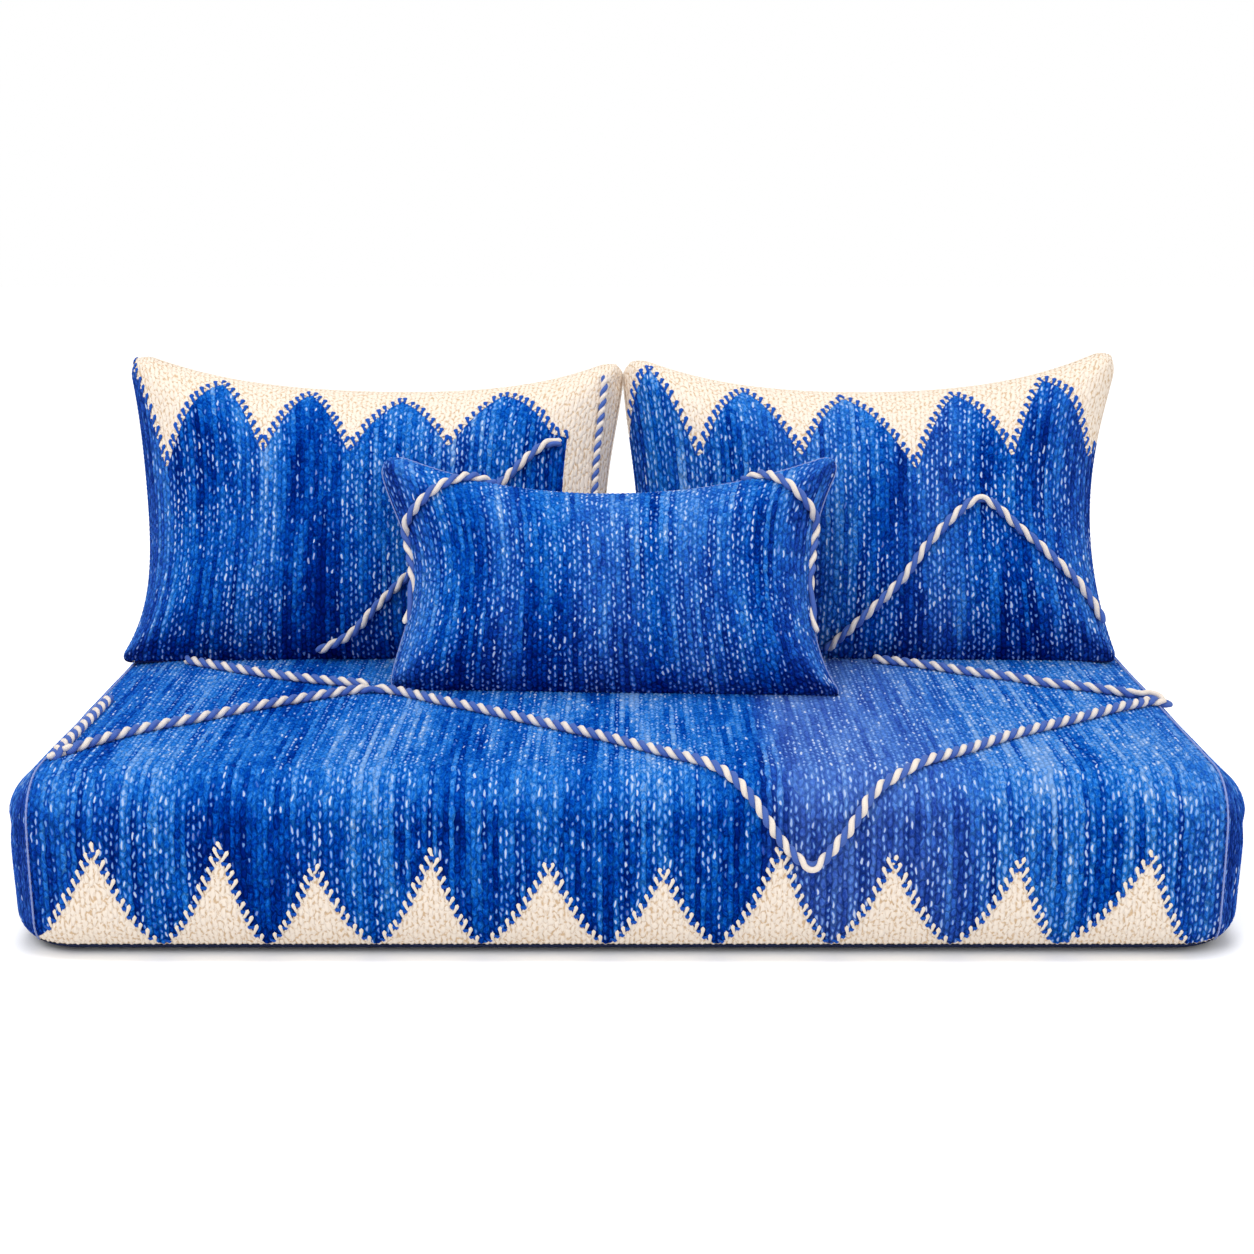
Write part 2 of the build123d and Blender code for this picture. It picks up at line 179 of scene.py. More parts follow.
@dataclass
class Mesh:
    """Points and faces of a piece, gathered before Blender gets them."""

    points: Array
    faces: Array
    map: Optional[Array] = None
    values: dict[str, Array] = field(default_factory=dict)
    finish_numbers: Optional[Array] = None

    @staticmethod
    def joined(parts: Sequence["Mesh"]) -> "Mesh":
        """Joins several meshes, keeping each one's map and finish numbers.

        Args:
            parts: The meshes; all have a map, or none has.

        Returns:
            One mesh.
        """
        starts = np.cumsum([0] + [len(part.points) for part in parts[:-1]])
        numbers = [
            np.zeros(len(part.faces), int) if part.finish_numbers is None else part.finish_numbers
            for part in parts
        ]
        return Mesh(
            np.concatenate([part.points for part in parts]),
            np.concatenate([part.faces + start for part, start in zip(parts, starts)]),
            np.concatenate([part.map for part in parts]) if parts[0].map is not None else None,
            finish_numbers=np.concatenate(numbers),
        )

    def piece(self, name: str, finishes: Sequence[Material]) -> bpy.types.Object:
        """Makes the Blender object.

        Args:
            name: The piece's name.
            finishes: Its materials, in the order of the finish numbers.

        Returns:
            The object, at the origin.
        """
        data = bpy.data.meshes.new(name)
        corners = self.faces.shape[1]
        data.vertices.add(len(self.points))
        data.vertices.foreach_set("co", self.points.astype(np.float32).ravel())
        data.loops.add(self.faces.size)
        data.loops.foreach_set("vertex_index", self.faces.astype(np.int32).ravel())
        data.polygons.add(len(self.faces))
        data.polygons.foreach_set("loop_start", np.arange(0, self.faces.size, corners, dtype=np.int32))
        data.update(calc_edges=True)
        data.polygons.foreach_set("use_smooth", np.ones(len(self.faces), bool))
        if self.map is not None:
            layer = data.uv_layers.new(name="weave")
            layer.data.foreach_set("uv", self.map[self.faces.ravel()].astype(np.float32).ravel())
        for title, value in self.values.items():
            attribute = data.attributes.new(title, "FLOAT", "POINT")
            attribute.data.foreach_set("value", value.astype(np.float32).ravel())
        for finish in finishes:
            data.materials.append(finish)
        if self.finish_numbers is not None:
            data.polygons.foreach_set("material_index", self.finish_numbers.astype(np.int32))
        data.validate()
        made = bpy.data.objects.new(name, data)
        bpy.context.scene.collection.objects.link(made)
        return made


def tube(rings: Array, places: Array, finish_number: int = 0) -> Mesh:
    """A mesh of a tube's rings.

    Args:
        rings: The tube's points, ring by ring.
        places: How far along the tube each ring is.
        finish_number: The finish of its faces.

    Returns:
        The mesh, with a map that runs round the tube, then along it in centimetres.
    """
    sides = rings.shape[1]
    turn_and_length = np.stack(np.meshgrid(np.arange(sides) / sides, places / CM), -1)
    faces = ring_faces(len(rings), sides)
    numbers = np.full(len(faces), finish_number)
    return Mesh(rings.reshape(-1, 3), faces, turn_and_length.reshape(-1, 2), finish_numbers=numbers)


def place(
    mesh: Mesh,
    name: str,
    finishes: Sequence[Material],
    body: str,
    slot: str,
    stands_for: Sequence[str] = (),
    fill: Optional[float] = None,
) -> None:
    """Makes a piece, puts it on its body and says what it is.

    Args:
        mesh: The piece's mesh.
        name: The piece's name.
        finishes: Its materials, in the order of the finish numbers.
        body: The body that it moves with.
        slot: The record's material slot of its finish; not used.
        stands_for: The nodes that it is shown in place of.
        fill: How full it is, for a padded piece; not used.
    """
    made = mesh.piece(name, finishes)
    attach(made, body)
    if stands_for:
        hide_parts(*stands_for)
    log.info("%s: %d faces on %s", name, len(made.data.polygons), body)


# Shader sums

Value = Union["Signal", float]


def math_node(operation: str, reflected: bool = False) -> Callable[..., "Signal"]:
    """Makes a method that adds one Math node.

    Args:
        operation: The node's operation.
        reflected: Whether the other value comes first.

    Returns:
        The method.
    """

    def method(*values: Value) -> "Signal":
        """Works the operation out on the signal itself and any other value."""
        board = values[0].board
        ordered = values[::-1] if reflected else values
        node = board.node("Math", {"operation": operation}, dict(enumerate(ordered)))
        return Signal(board, node.outputs[0])

    return method


class Signal:
    """A shader value; each operator on it adds the Math node that works it out."""

    def __init__(self, board: "Board", socket: Socket) -> None:
        """Wraps an output socket."""
        self.board = board
        self.socket = socket

    __add__ = __radd__ = math_node("ADD")
    __sub__, __rsub__ = math_node("SUBTRACT"), math_node("SUBTRACT", reflected=True)
    __mul__ = __rmul__ = math_node("MULTIPLY")
    __truediv__ = math_node("DIVIDE")
    __pow__ = math_node("POWER")
    floor = math_node("FLOOR")
    fraction = math_node("FRACT")
    sine = math_node("SINE")

    def rise(self, low: Value, high: Value) -> "Signal":
        """A smooth rise from 0 to 1.

        Args:
            low: Where it starts.
            high: Where it ends.

        Returns:
            The rise.
        """
        node = self.board.node(
            "MapRange",
            {"interpolation_type": "SMOOTHSTEP"},
            {"Value": self, "From Min": low, "From Max": high},
        )
        return Signal(self.board, node.outputs[0])


class Board:
    """The node board of one material, or of the world."""

    def __init__(self, owner: Union[Material, bpy.types.World]) -> None:
        """Empties the owner's board."""
        self.owner = owner
        owner.use_nodes = True
        self.tree = owner.node_tree
        self.tree.nodes.clear()

    @staticmethod
    def of_material(name: str) -> "Board":
        """The board of a new material."""
        return Board(bpy.data.materials.new(name))

    def node(self, kind: str, settings: dict, sockets: dict) -> bpy.types.Node:
        """Adds one node.

        Args:
            kind: The node's type, without the start that all types share.
            settings: Its settings, with a ramp's stops under "stops".
            sockets: Values or links for its sockets, by name or number.

        Returns:
            The node.
        """
        made = self.tree.nodes.new(f"ShaderNode{kind}")
        for setting, value in settings.items():
            if setting == "stops":
                ramp = made.color_ramp
                while len(ramp.elements) < len(value):
                    ramp.elements.new(1.0)
                for element, (position, colour) in zip(ramp.elements, value):
                    element.position = position
                    element.color = (*colour, 1.0)
            else:
                setattr(made, setting, value)
        for socket, value in sockets.items():
            if isinstance(value, Signal):
                self.tree.links.new(value.socket, made.inputs[socket])
            elif isinstance(value, Socket):
                self.tree.links.new(value, made.inputs[socket])
            else:
                made.inputs[socket].default_value = value
        return made

    def woven_place(self) -> tuple[Signal, Signal]:
        """The piece's own map: threads counted across, and rows counted up."""
        return self.split("XYZ", self.node("UVMap", {"uv_map": "weave"}, {}).outputs[0])[:2]

    def object_place(self) -> Socket:
        """The object's own coordinates."""
        return self.node("TexCoord", {}, {}).outputs["Object"]

    def attribute(self, name: str) -> Signal:
        """A value that the mesh gives at each point."""
        return Signal(self, self.node("Attribute", {"attribute_name": name}, {}).outputs["Fac"])

    def camera_ray(self) -> Socket:
        """1 for what is seen directly, or else 0."""
        return self.node("LightPath", {}, {}).outputs["Is Camera Ray"]

    def split(self, kind: str, link: Socket) -> tuple[Signal, ...]:
        """The three parts of a vector ("XYZ") or a colour ("Color")."""
        return tuple(Signal(self, output) for output in self.node(f"Separate{kind}", {}, {0: link}).outputs)

    def point(self, across: Value, up: Value, deep: Value) -> Socket:
        """A vector of three values."""
        return self.node("CombineXYZ", {}, {0: across, 1: up, 2: deep}).outputs[0]

    def noise(self, where: Socket, detail: float, scale: float = 1.0) -> Signal:
        """Soft noise about one half."""
        sockets = {"Vector": where, "Scale": scale, "Detail": detail}
        return Signal(self, self.node("TexNoise", {"noise_dimensions": "3D"}, sockets).outputs[0])

    def cloud(self, across: Value, up: Value, seed: float, detail: float, scale: float = 1.0) -> Signal:
        """Soft noise about one half, by two values and a seed."""
        return self.noise(self.point(across, up, seed), detail, scale)

    def chance(self, across: Value, up: Value, seed: float) -> Signal:
        """A number from 0 to 1, drawn once for each cell."""
        where = self.point(across, up, seed)
        return Signal(self, self.node("TexWhiteNoise", {"noise_dimensions": "3D"}, {0: where}).outputs[0])

    def ramp(self, value: Signal, stops: Sequence[tuple[float, Colour]]) -> Socket:
        """A colour read from stops."""
        return self.node("ValToRGB", {"stops": stops}, {0: value}).outputs[0]

    def mixed(self, share: Value, first: object, second: object, way: str = "MIX") -> Socket:
        """Two colours mixed."""
        sockets = {0: share, 6: self._colour(first), 7: self._colour(second)}
        return self.node("Mix", {"data_type": "RGBA", "blend_type": way}, sockets).outputs[2]

    def grey(self, value: Signal) -> Socket:
        """A value as an even colour."""
        return self.node("CombineColor", {}, {0: value, 1: value, 2: value}).outputs[0]

    @staticmethod
    def _colour(value: object) -> object:
        """A colour with its fourth channel, or a link as it is."""
        return (*value, 1.0) if isinstance(value, tuple) else value

    def shader(self, colour: object, roughness: Value, more: dict) -> Material:
        """Ends the board in one Principled shader.

        Args:
            colour: Base colour, or its link.
            roughness: Roughness, or its signal.
            more: Its other sockets.

        Returns:
            The material.
        """
        sockets = {"Base Color": self._colour(colour), "Roughness": roughness, **more}
        made = self.node("BsdfPrincipled", {}, sockets)
        self.node("OutputMaterial", {}, {"Surface": made.outputs[0]})
        return self.owner

    def finish(
        self,
        colour: object,
        roughness: Value,
        height: Signal,
        depth: float,
        metallic: float = 0.0,
        sheen: float = 0.0,
        specular: float = 0.12,
    ) -> Material:
        """Ends the board in a shader with relief.

        Args:
            colour: Base colour, or its link.
            roughness: Roughness, or its signal.
            height: The relief that the bump reads.
            depth: How deep that relief is, in metres.
            metallic: 1 for bare metal.
            sheen: The cloth's soft edge light.
            specular: Strength of the clear surface's reflection, where it isn't metal.

        Returns:
            The material.
        """
        bump = self.node("Bump", {}, {"Height": height, "Distance": depth, "Strength": 1.0})
        more = {
            "Metallic": metallic, "Normal": bump.outputs[0], "Sheen Weight": sheen, "Sheen Roughness": 0.5,
            "Specular IOR Level": specular if metallic == 0.0 else 0.5,
        }
        return self.shader(colour, roughness, more)


# Finishes

DEEP_BLUE: Colour = (0.0001, 0.0120, 0.165)
ROYAL_BLUE: Colour = (0.0004, 0.0420, 0.350)
MID_BLUE: Colour = (0.0030, 0.1020, 0.520)
LIGHT_BLUE: Colour = (0.0260, 0.2150, 0.690)
PALE_BLUE: Colour = (0.190, 0.380, 0.760)
VIOLET_BLUE: Colour = (0.020, 0.070, 0.390)
VIOLET_PALE: Colour = (0.200, 0.290, 0.670)
WOOL_WHITE: Colour = (0.800, 0.790, 0.780)
CREAM: Colour = (0.885, 0.760, 0.635)
CREAM_LIGHT: Colour = (0.920, 0.830, 0.730)
# painted shade: the cream's tan in the gaps between its picks
CREAM_GAP_SHADE: Colour = (0.600, 0.400, 0.220)
CORD_CREAM: Colour = (0.910, 0.830, 0.750)
CORD_SHADE: Colour = (0.740, 0.620, 0.520)
CORD_BLUE: Colour = (0.075, 0.165, 0.520)
# painted shade: the blue ply's colour in shade
CORD_BLUE_SHADE: Colour = (0.055, 0.095, 0.350)
SEAM_PALE: Colour = (0.420, 0.480, 0.760)
# painted shadow: near-black yarn for the cushions' foot seams
PAINTED_SHADOW_NAVY: Colour = (0.0010, 0.0040, 0.030)
FLOOR_WHITE: Colour = (0.930, 0.930, 0.930)


@dataclass(frozen=True)
class Band:
    """A stripe of one dye lot: its place across the cloth, lightness, violet share and light flecks."""

    across: float
    light: float
    violet: float
    flecks: float


@dataclass(frozen=True)
class KilimFinish:
    """Weft-faced kilim: dye that changes by stripes, single light picks, and a cream ground by distance."""

    name: str
    columns: int
    bands: tuple[Band, ...]
    seed: float
    has_cream: bool = False
    sway: Share = (0.9, 1.1)
    pick_half: Share = (0.40, 0.43)
    pick_jitter: Share = (0.20, 0.34)
    dash_half: float = 0.215
    gap_shade: float = 0.52
    # strength of the painted light: cloth facing up lighter, cloth facing down darker
    painted_facing_strength: float = 0.26
    roughness: float = 0.94
    relief: float = 1.0 * MM

    def material(self) -> Material:
        """The cloth's material."""
        board = Board.of_material(self.name)
        flat_across, flat_up = board.woven_place()
        sway = board.cloud(flat_across * 0.55, flat_up * 0.9, self.seed + 3.0, 1.0)
        slip = board.cloud(flat_across * 0.9, flat_up * 0.7, self.seed + 7.0, 1.0)
        across = flat_across + (sway - 0.5) * self.sway[0]
        up = flat_up + (slip - 0.5) * self.sway[1]
        column = (across + 0.5).floor()
        brick_row = up + (column * 0.5).fraction()
        row = (brick_row + 0.5).floor()
        draw = board.chance(column, row, self.seed)
        other_draw = board.chance(column, row, self.seed + 31.0)
        fuzz = board.cloud(across * 1.7, up * 2.6, self.seed, 2.0)
        fibre = board.cloud(across * 3.0, up * 2.4, self.seed, 3.0, 2.2)
        off_column = across - column + (draw - 0.5) * self.pick_jitter[0]
        off_row = brick_row - row + (other_draw - 0.5) * self.pick_jitter[1]
        spread = (off_column / self.pick_half[0]) ** 2.0 + (off_row / self.pick_half[1]) ** 2.0
        pick = 1.0 - (spread * (fuzz * 1.5 + 0.25)).rise(0.30, 1.8)
        dash = (off_column / self.dash_half) ** 2.0 + (off_row / (draw * 0.16 + 0.22)) ** 2.0
        core = 1.0 - (dash * (fuzz * 1.6 + 0.2)).rise(0.30, 1.15)
        # painted light: this value, from how the cloth faces, lightens cloth facing up and darkens cloth
        # facing down; it also weakens the painted shade between picks where the cloth faces up
        worn = board.attribute("worn")

        lots = board.ramp(
            across / float(self.columns),
            [(band.across, (band.light, band.violet, band.flecks)) for band in self.bands],
        )
        light, violet, flecks = board.split("Color", lots)
        wander = board.cloud(across * 0.16, up * 0.035, self.seed, 3.0)
        streak = board.cloud(column * 0.93, row * 0.055, self.seed + 9.0, 1.0)
        run = board.cloud(column * 0.83, row * 0.07, self.seed + 50.0, 1.0)

        tone = light + (wander - 0.5) * 0.6 + (streak - 0.5) * 1.3 + (draw - 0.5) * 0.26
        tone = tone + (fuzz - 0.5) * 1.0 + (fibre - 0.5) * 0.75 + worn * self.painted_facing_strength - 0.08
        blue = board.ramp(
            tone,
            [(0.0, DEEP_BLUE), (0.26, ROYAL_BLUE), (0.50, MID_BLUE), (0.76, LIGHT_BLUE), (1.0, PALE_BLUE)],
        )
        blue = board.mixed(violet * 0.62, blue, board.mixed(tone * 0.9, VIOLET_BLUE, VIOLET_PALE))
        gap_shade = self.gap_shade - worn * self.painted_facing_strength
        blue = board.mixed(1.0, blue, board.grey(pick * gap_shade + (1.03 - gap_shade)), "MULTIPLY")
        chance = flecks * (run.rise(0.38, 0.64) * 2.6 + 0.30)
        fleck = (chance + other_draw - 1.0).rise(-0.02, 0.16) * core
        fleck_colour = board.mixed(draw.rise(0.35, 1.45), PALE_BLUE, WOOL_WHITE)
        colour = board.mixed(fleck * (draw * 0.4 + 0.6), blue, fleck_colour)
        if self.has_cream:
            ground = board.mixed(wander * 0.5 + fibre * 0.4, CREAM, CREAM_LIGHT)
            # painted shade: tan in part of the gaps between the cream picks
            ground = board.mixed((1.0 - pick) * fuzz.rise(0.42, 0.62) * 0.85, ground, CREAM_GAP_SHADE)
            colour = board.mixed(board.attribute("cream_side").rise(-0.5, 0.5), colour, ground)
        height = pick * 0.7 + fibre * 0.3 + fuzz * 0.4
        return board.finish(colour, self.roughness, height, self.relief, specular=0.0)


@dataclass(frozen=True)
class YarnFinish:
    """Twisted wool: fine slanting fibres along a ply."""

    name: str
    colour: Colour
    shade: Colour
    sheen: float = 0.1
    roughness: float = 0.85
    relief: float = 0.3 * MM

    def material(self) -> Material:
        """The yarn's material; its map runs round the ply, then along it in centimetres."""
        board = Board.of_material(self.name)
        around, along = board.woven_place()
        fibre = ((along * 9.0 + around * 2.0) * (2 * math.pi)).sine() * 0.5 + 0.5
        fuzz = board.cloud(around * 4.0, along * 6.0, 0.0, 3.0, 3.0)
        # painted shade: the colour is mixed towards the shade colour along the slanting fibre stripes and the
        # fuzz
        colour = board.mixed(fibre * 0.35 + fuzz * 0.45, self.colour, self.shade)
        return board.finish(colour, self.roughness, fibre * 0.5 + fuzz * 0.6, self.relief, sheen=self.sheen)


@dataclass(frozen=True)
class PlainFinish:
    """A plain small-scale finish read by place: canvas, tape, coil or lacquered metal."""

    name: str
    colour: Colour
    shade: Colour
    pitch: float
    roughness: float
    depth: float
    metallic: float = 0.0
    woven: bool = True

    def material(self) -> Material:
        """The material, in the object's own coordinates."""
        board = Board.of_material(self.name)
        where = board.object_place()
        cloudy = board.noise(where, 4.0, 0.15 / self.pitch)
        if self.woven:
            x, y, z = board.split("XYZ", where)
            turn = 2 * math.pi / self.pitch
            height = (x * turn).sine() * ((y + z) * turn).sine() * 0.5 + 0.5
        else:
            height = board.noise(where, 2.0, 1.0 / self.pitch)
        colour = board.mixed(height * 0.4 + cloudy * 0.6, self.colour, self.shade)
        rough = cloudy * 0.2 + (self.roughness - 0.1)
        return board.finish(colour, rough, height, self.depth, metallic=self.metallic)


# Woven panels

THREAD_PITCH = 5.4 * MM
ROW_PITCH = 10.4 * MM
WEAVE_DEPTH = 1.1 * MM
RIM = ((1, 1), (1, 1), (0, 0))
HEM_REACH = 3


def weave_relief(across: Array, up: Array) -> Array:
    """Height of the picks from -1 to 0: less the squared distance from the pick's middle, cut at the gaps.

    Odd columns stand half a row higher, as bricks do.

    Args:
        across: Places across, counted in threads.
        up: Places up, counted in rows.

    Returns:
        The height at each place.
    """
    column = np.floor(across + 0.5)
    brick_row = up + np.mod(column, 2) * 0.5
    off_column = across - column
    off_row = brick_row - np.floor(brick_row + 0.5)
    return -np.clip((off_column / 0.5) ** 2 + 0.55 * (off_row / 0.5) ** 2, 0.0, 1.0)


@dataclass
class Swelling:
    """Cloth simulation of one panel: pressure from behind, the seams held, and the movement capped."""

    cap: float
    pressure: float = 4.0
    frames: int = 20
    quality: int = 5
    stretch_stiffness: float = 30.0
    bending_stiffness: float = 2.0

    def moved(self, points: Array) -> Array:
        """Simulates the panel.

        Args:
            points: The panel as a grid of points.

        Returns:
            How far each point moves, no further than the cap.
        """
        rows, columns, _ = points.shape
        cloth = Mesh(points.reshape(-1, 3), grid_faces(rows, columns)).piece("simulated_cloth", [])
        border = np.ones((rows, columns), bool)
        border[1:-1, 1:-1] = False
        held = cloth.vertex_groups.new(name="held")
        held.add(np.flatnonzero(border).tolist(), 1.0, "REPLACE")
        modifier = cloth.modifiers.new("cloth", "CLOTH")
        settings = modifier.settings
        settings.quality = self.quality
        settings.vertex_group_mass = held.name
        settings.use_pressure = True
        settings.uniform_pressure_force = self.pressure
        settings.effector_weights.gravity = 0.0
        settings.tension_stiffness = settings.compression_stiffness = self.stretch_stiffness
        settings.bending_stiffness = self.bending_stiffness
        modifier.collision_settings.use_collision = False
        modifier.point_cache.frame_start = 1
        modifier.point_cache.frame_end = self.frames
        scene = bpy.context.scene
        for frame_number in range(1, self.frames + 1):
            scene.frame_set(frame_number)
        swollen = cloth.evaluated_get(bpy.context.evaluated_depsgraph_get()).data
        after = np.empty(points.size, np.float32)
        swollen.vertices.foreach_get("co", after)
        scene.frame_set(1)
        data = cloth.data
        bpy.data.objects.remove(cloth)
        bpy.data.meshes.remove(data)
        move = after.reshape(points.shape) - points
        length = np.linalg.norm(move, axis=-1, keepdims=True)
        return move * (self.cap * np.tanh(length / self.cap) / np.maximum(length, 1e-9))


@dataclass
class Panel:
    """One piece of woven cloth between its seams, as a grid of threads across and rows up.

    The form gives the cloth's points from two shares, each from 0 to 1.
    """

    form: Form
    columns: int
    rows: int
    swelling: Optional[Swelling] = None
    stiff: Optional[Form] = None
    uneven: float = 1.0 * MM
    uneven_wave: float = 0.12
    seed: int = 1
    rest_height: Optional[float] = None
    hem: float = 5 * MM
    row_pitch: float = ROW_PITCH
    steps_across: int = 2
    steps_up: int = 4

    def __post_init__(self) -> None:
        """Simulates the panel once, on a coarse grid."""
        rows, columns = max(self.rows * 11 // 10, 8), max(self.columns * 5 // 10, 8)
        self.coarse = (rows, columns)
        u, v = np.meshgrid(np.linspace(0, 1, columns), np.linspace(0, 1, rows))
        points = self.form(u, v)
        move = self.swelling.moved(points) if self.swelling else np.zeros_like(points)
        across, up = u * self.columns * THREAD_PITCH, v * self.rows * self.row_pitch
        bumps = undulation(across, up, self.seed, self.uneven_wave)
        edge = smooth_step(np.minimum(np.minimum(u, 1 - u), np.minimum(v, 1 - v)), 0.0, 0.12)
        move = move + grid_normals(points) * (self.uneven * bumps * edge)[..., None]
        if self.stiff:
            move = move * (1 - self.stiff(u, v))[..., None]
        self.move = move

    def surface(self, u: Array, v: Array) -> Array:
        """Points of the cloth without its weave, at two lists of shares."""
        rows, columns = self.coarse
        points = self.form(*np.meshgrid(u, v)) + resampled(self.move, v * (rows - 1), u * (columns - 1))
        return self.rested(points)

    def rested(self, points: Array) -> Array:
        """Points pushed up to what the cloth rests on: the mean of the height and its size, 1 mm rounded."""
        if self.rest_height is not None:
            over = points[..., 2] - self.rest_height
            points = points.copy()
            points[..., 2] = self.rest_height + (over + np.sqrt(over**2 + (1 * MM) ** 2)) / 2
        return points

    def move_at(self, u: Array, v: Array) -> Array:
        """How far single points move, read by straight lines between the four neighbours of each.

        Args:
            u: Shares across.
            v: Shares up.

        Returns:
            The movements.
        """
        rows, columns = self.coarse
        place_r, place_c = np.clip(v, 0, 1) * (rows - 1), np.clip(u, 0, 1) * (columns - 1)
        r, c = np.minimum(place_r.astype(int), rows - 2), np.minimum(place_c.astype(int), columns - 2)
        part_r, part_c = (place_r - r)[:, None], (place_c - c)[:, None]
        low, high = (self.move[k, c] * (1 - part_c) + self.move[k, c + 1] * part_c for k in (r, r + 1))
        return low * (1 - part_r) + high * part_r

    def read(self, u: Array, v: Array) -> Array:
        """Single points of the cloth."""
        return self.rested(self.form(u, v) + self.move_at(u, v))

    def at(self, places: Array) -> tuple[Array, Array]:
        """Single points of the cloth and their normals.

        Args:
            places: Pairs of shares, one pair a point, in any number of dimensions.

        Returns:
            The points and their outward normals.
        """
        step = 0.002
        flat = places.reshape(-1, 2)
        u, v = np.clip(flat, step, 1 - step).T
        slope_u = self.read(u + step, v) - self.read(u - step, v)
        slope_v = self.read(u, v + step) - self.read(u, v - step)
        normals = unit(np.cross(slope_u, slope_v))
        shape = (*places.shape[:-1], 3)
        return self.read(*flat.T).reshape(shape), normals.reshape(shape)

    def mesh(self, cream_side: Optional[Form] = None) -> Mesh:
        """The woven cloth with its relief and its turned-in hem.

        Args:
            cream_side: How far into the cream each place lies, in millimetres, from two grids of shares.

        Returns:
            The mesh, with its map counted in threads and rows.
        """
        u = np.linspace(0, 1, self.columns * self.steps_across + 1)
        v = np.linspace(0, 1, self.rows * self.steps_up + 1)
        points = self.surface(u, v)
        normals = grid_normals(points)
        across, up = np.meshgrid(u * self.columns, v * self.rows)
        # painted light: a value from the normals' upward part, 1 facing straight up and down to -0.5 facing
        # down, that the kilim's shader turns into lighter and darker cloth
        rise = normals[..., 2]
        values = {"worn": smooth_step(rise, 0.0, 1.0) - 0.5 * smooth_step(-rise, 0.0, 0.7)}
        if cream_side:
            values["cream_side"] = cream_side(*np.meshgrid(u, v))
        values = {title: np.pad(value, 1, mode="edge").ravel() for title, value in values.items()}
        woven = self.rested(points + normals * (weave_relief(across, up) * WEAVE_DEPTH)[..., None])
        hemmed = np.pad(woven, RIM, mode="edge") + self._inward(woven, normals) * self.hem
        threads = np.pad(np.stack([across, up], -1), RIM, mode="edge")
        return Mesh(hemmed.reshape(-1, 3), grid_faces(*hemmed.shape[:2]), threads.reshape(-1, 2), values)

    @staticmethod
    def _inward(woven: Array, normals: Array) -> Array:
        """Directions of the hem: back under the cloth at the border, and nothing elsewhere."""
        padded, normal = (np.pad(grid, RIM, mode="edge") for grid in (woven, normals))
        inner = padded[HEM_REACH:-HEM_REACH, HEM_REACH:-HEM_REACH]
        deeper = np.pad(inner, HEM_REACH * np.array(RIM), mode="edge")
        inward = unit(unit(deeper - padded) - 1.2 * normal)
        inward[1:-1, 1:-1] = 0.0
        return inward


@dataclass
class Outline:
    """The toothed line between blue and cream, through its points and tips, as shares of the cloth.

    Between a sharp cream point and a rounded blue tip the line is part straight and part a quarter sine.
    """

    corners: tuple[Share, ...]
    first_is_sharp: bool
    roundness: float
    panel: Panel
    cream_above: bool
    cream_from: Optional[float] = None
    grown: float = 0.0
    steps: int = 14
    reach: float = 30.0

    def line(self) -> Array:
        """Points along the line, as shares."""
        share = np.linspace(0, 1, self.steps, endpoint=False)
        runs = []
        for number, (start, end) in enumerate(zip(self.corners, self.corners[1:])):
            sharp_first = self.first_is_sharp == (number % 2 == 0)
            bent = np.sin(share * math.pi / 2) if sharp_first else 1 - np.cos(share * math.pi / 2)
            rise = share * (1 - self.roundness) + bent * self.roundness
            way = np.stack([share, rise], 1)
            runs.append(np.array(start) + (np.array(end) - np.array(start)) * way)
        return np.concatenate([*runs, [self.corners[-1]]])

    @property
    def scale(self) -> Array:
        """Millimetres of cloth in one share, across and up."""
        return np.array([self.panel.columns * THREAD_PITCH, self.panel.rows * self.panel.row_pitch]) / MM

    def side(self, u: Array, v: Array) -> Array:
        """Signed distance to the line in millimetres, as far as its reach and more than 0 in the cream.

        Args:
            u: Shares across the cloth.
            v: Shares up it.

        Returns:
            The distances.
        """
        line = self.line()
        height = np.interp(u, line[:, 0], line[:, 1])
        cream = (v > height) if self.cream_above else (v < height)
        near = np.abs(v - height) * self.scale[1] < self.reach
        lines = [line]
        if self.cream_from is not None:
            cream = cream | (u > self.cream_from)
            near = near | (np.abs(u - self.cream_from) * self.scale[0] < self.reach)
            before = line[line[:, 0] <= self.cream_from]
            lines = [before, np.array([[self.cream_from, before[-1][1]], [self.cream_from, -0.1]])]
        places = np.stack([u[near], v[near]], -1) * self.scale
        best = np.full(len(places), self.reach**2)
        for run in lines:
            scaled = run * self.scale
            for start, end in zip(scaled, scaled[1:]):
                along = end - start
                share = np.clip(((places - start) @ along) / max(along @ along, 1e-9), 0, 1)
                gap = places - start - share[:, None] * along
                best = np.minimum(best, (gap**2).sum(1))
        distance = np.full(u.shape, self.reach)
        distance[near] = np.sqrt(best)
        return np.where(cream, 1.0, -1.0) * distance + self.grown


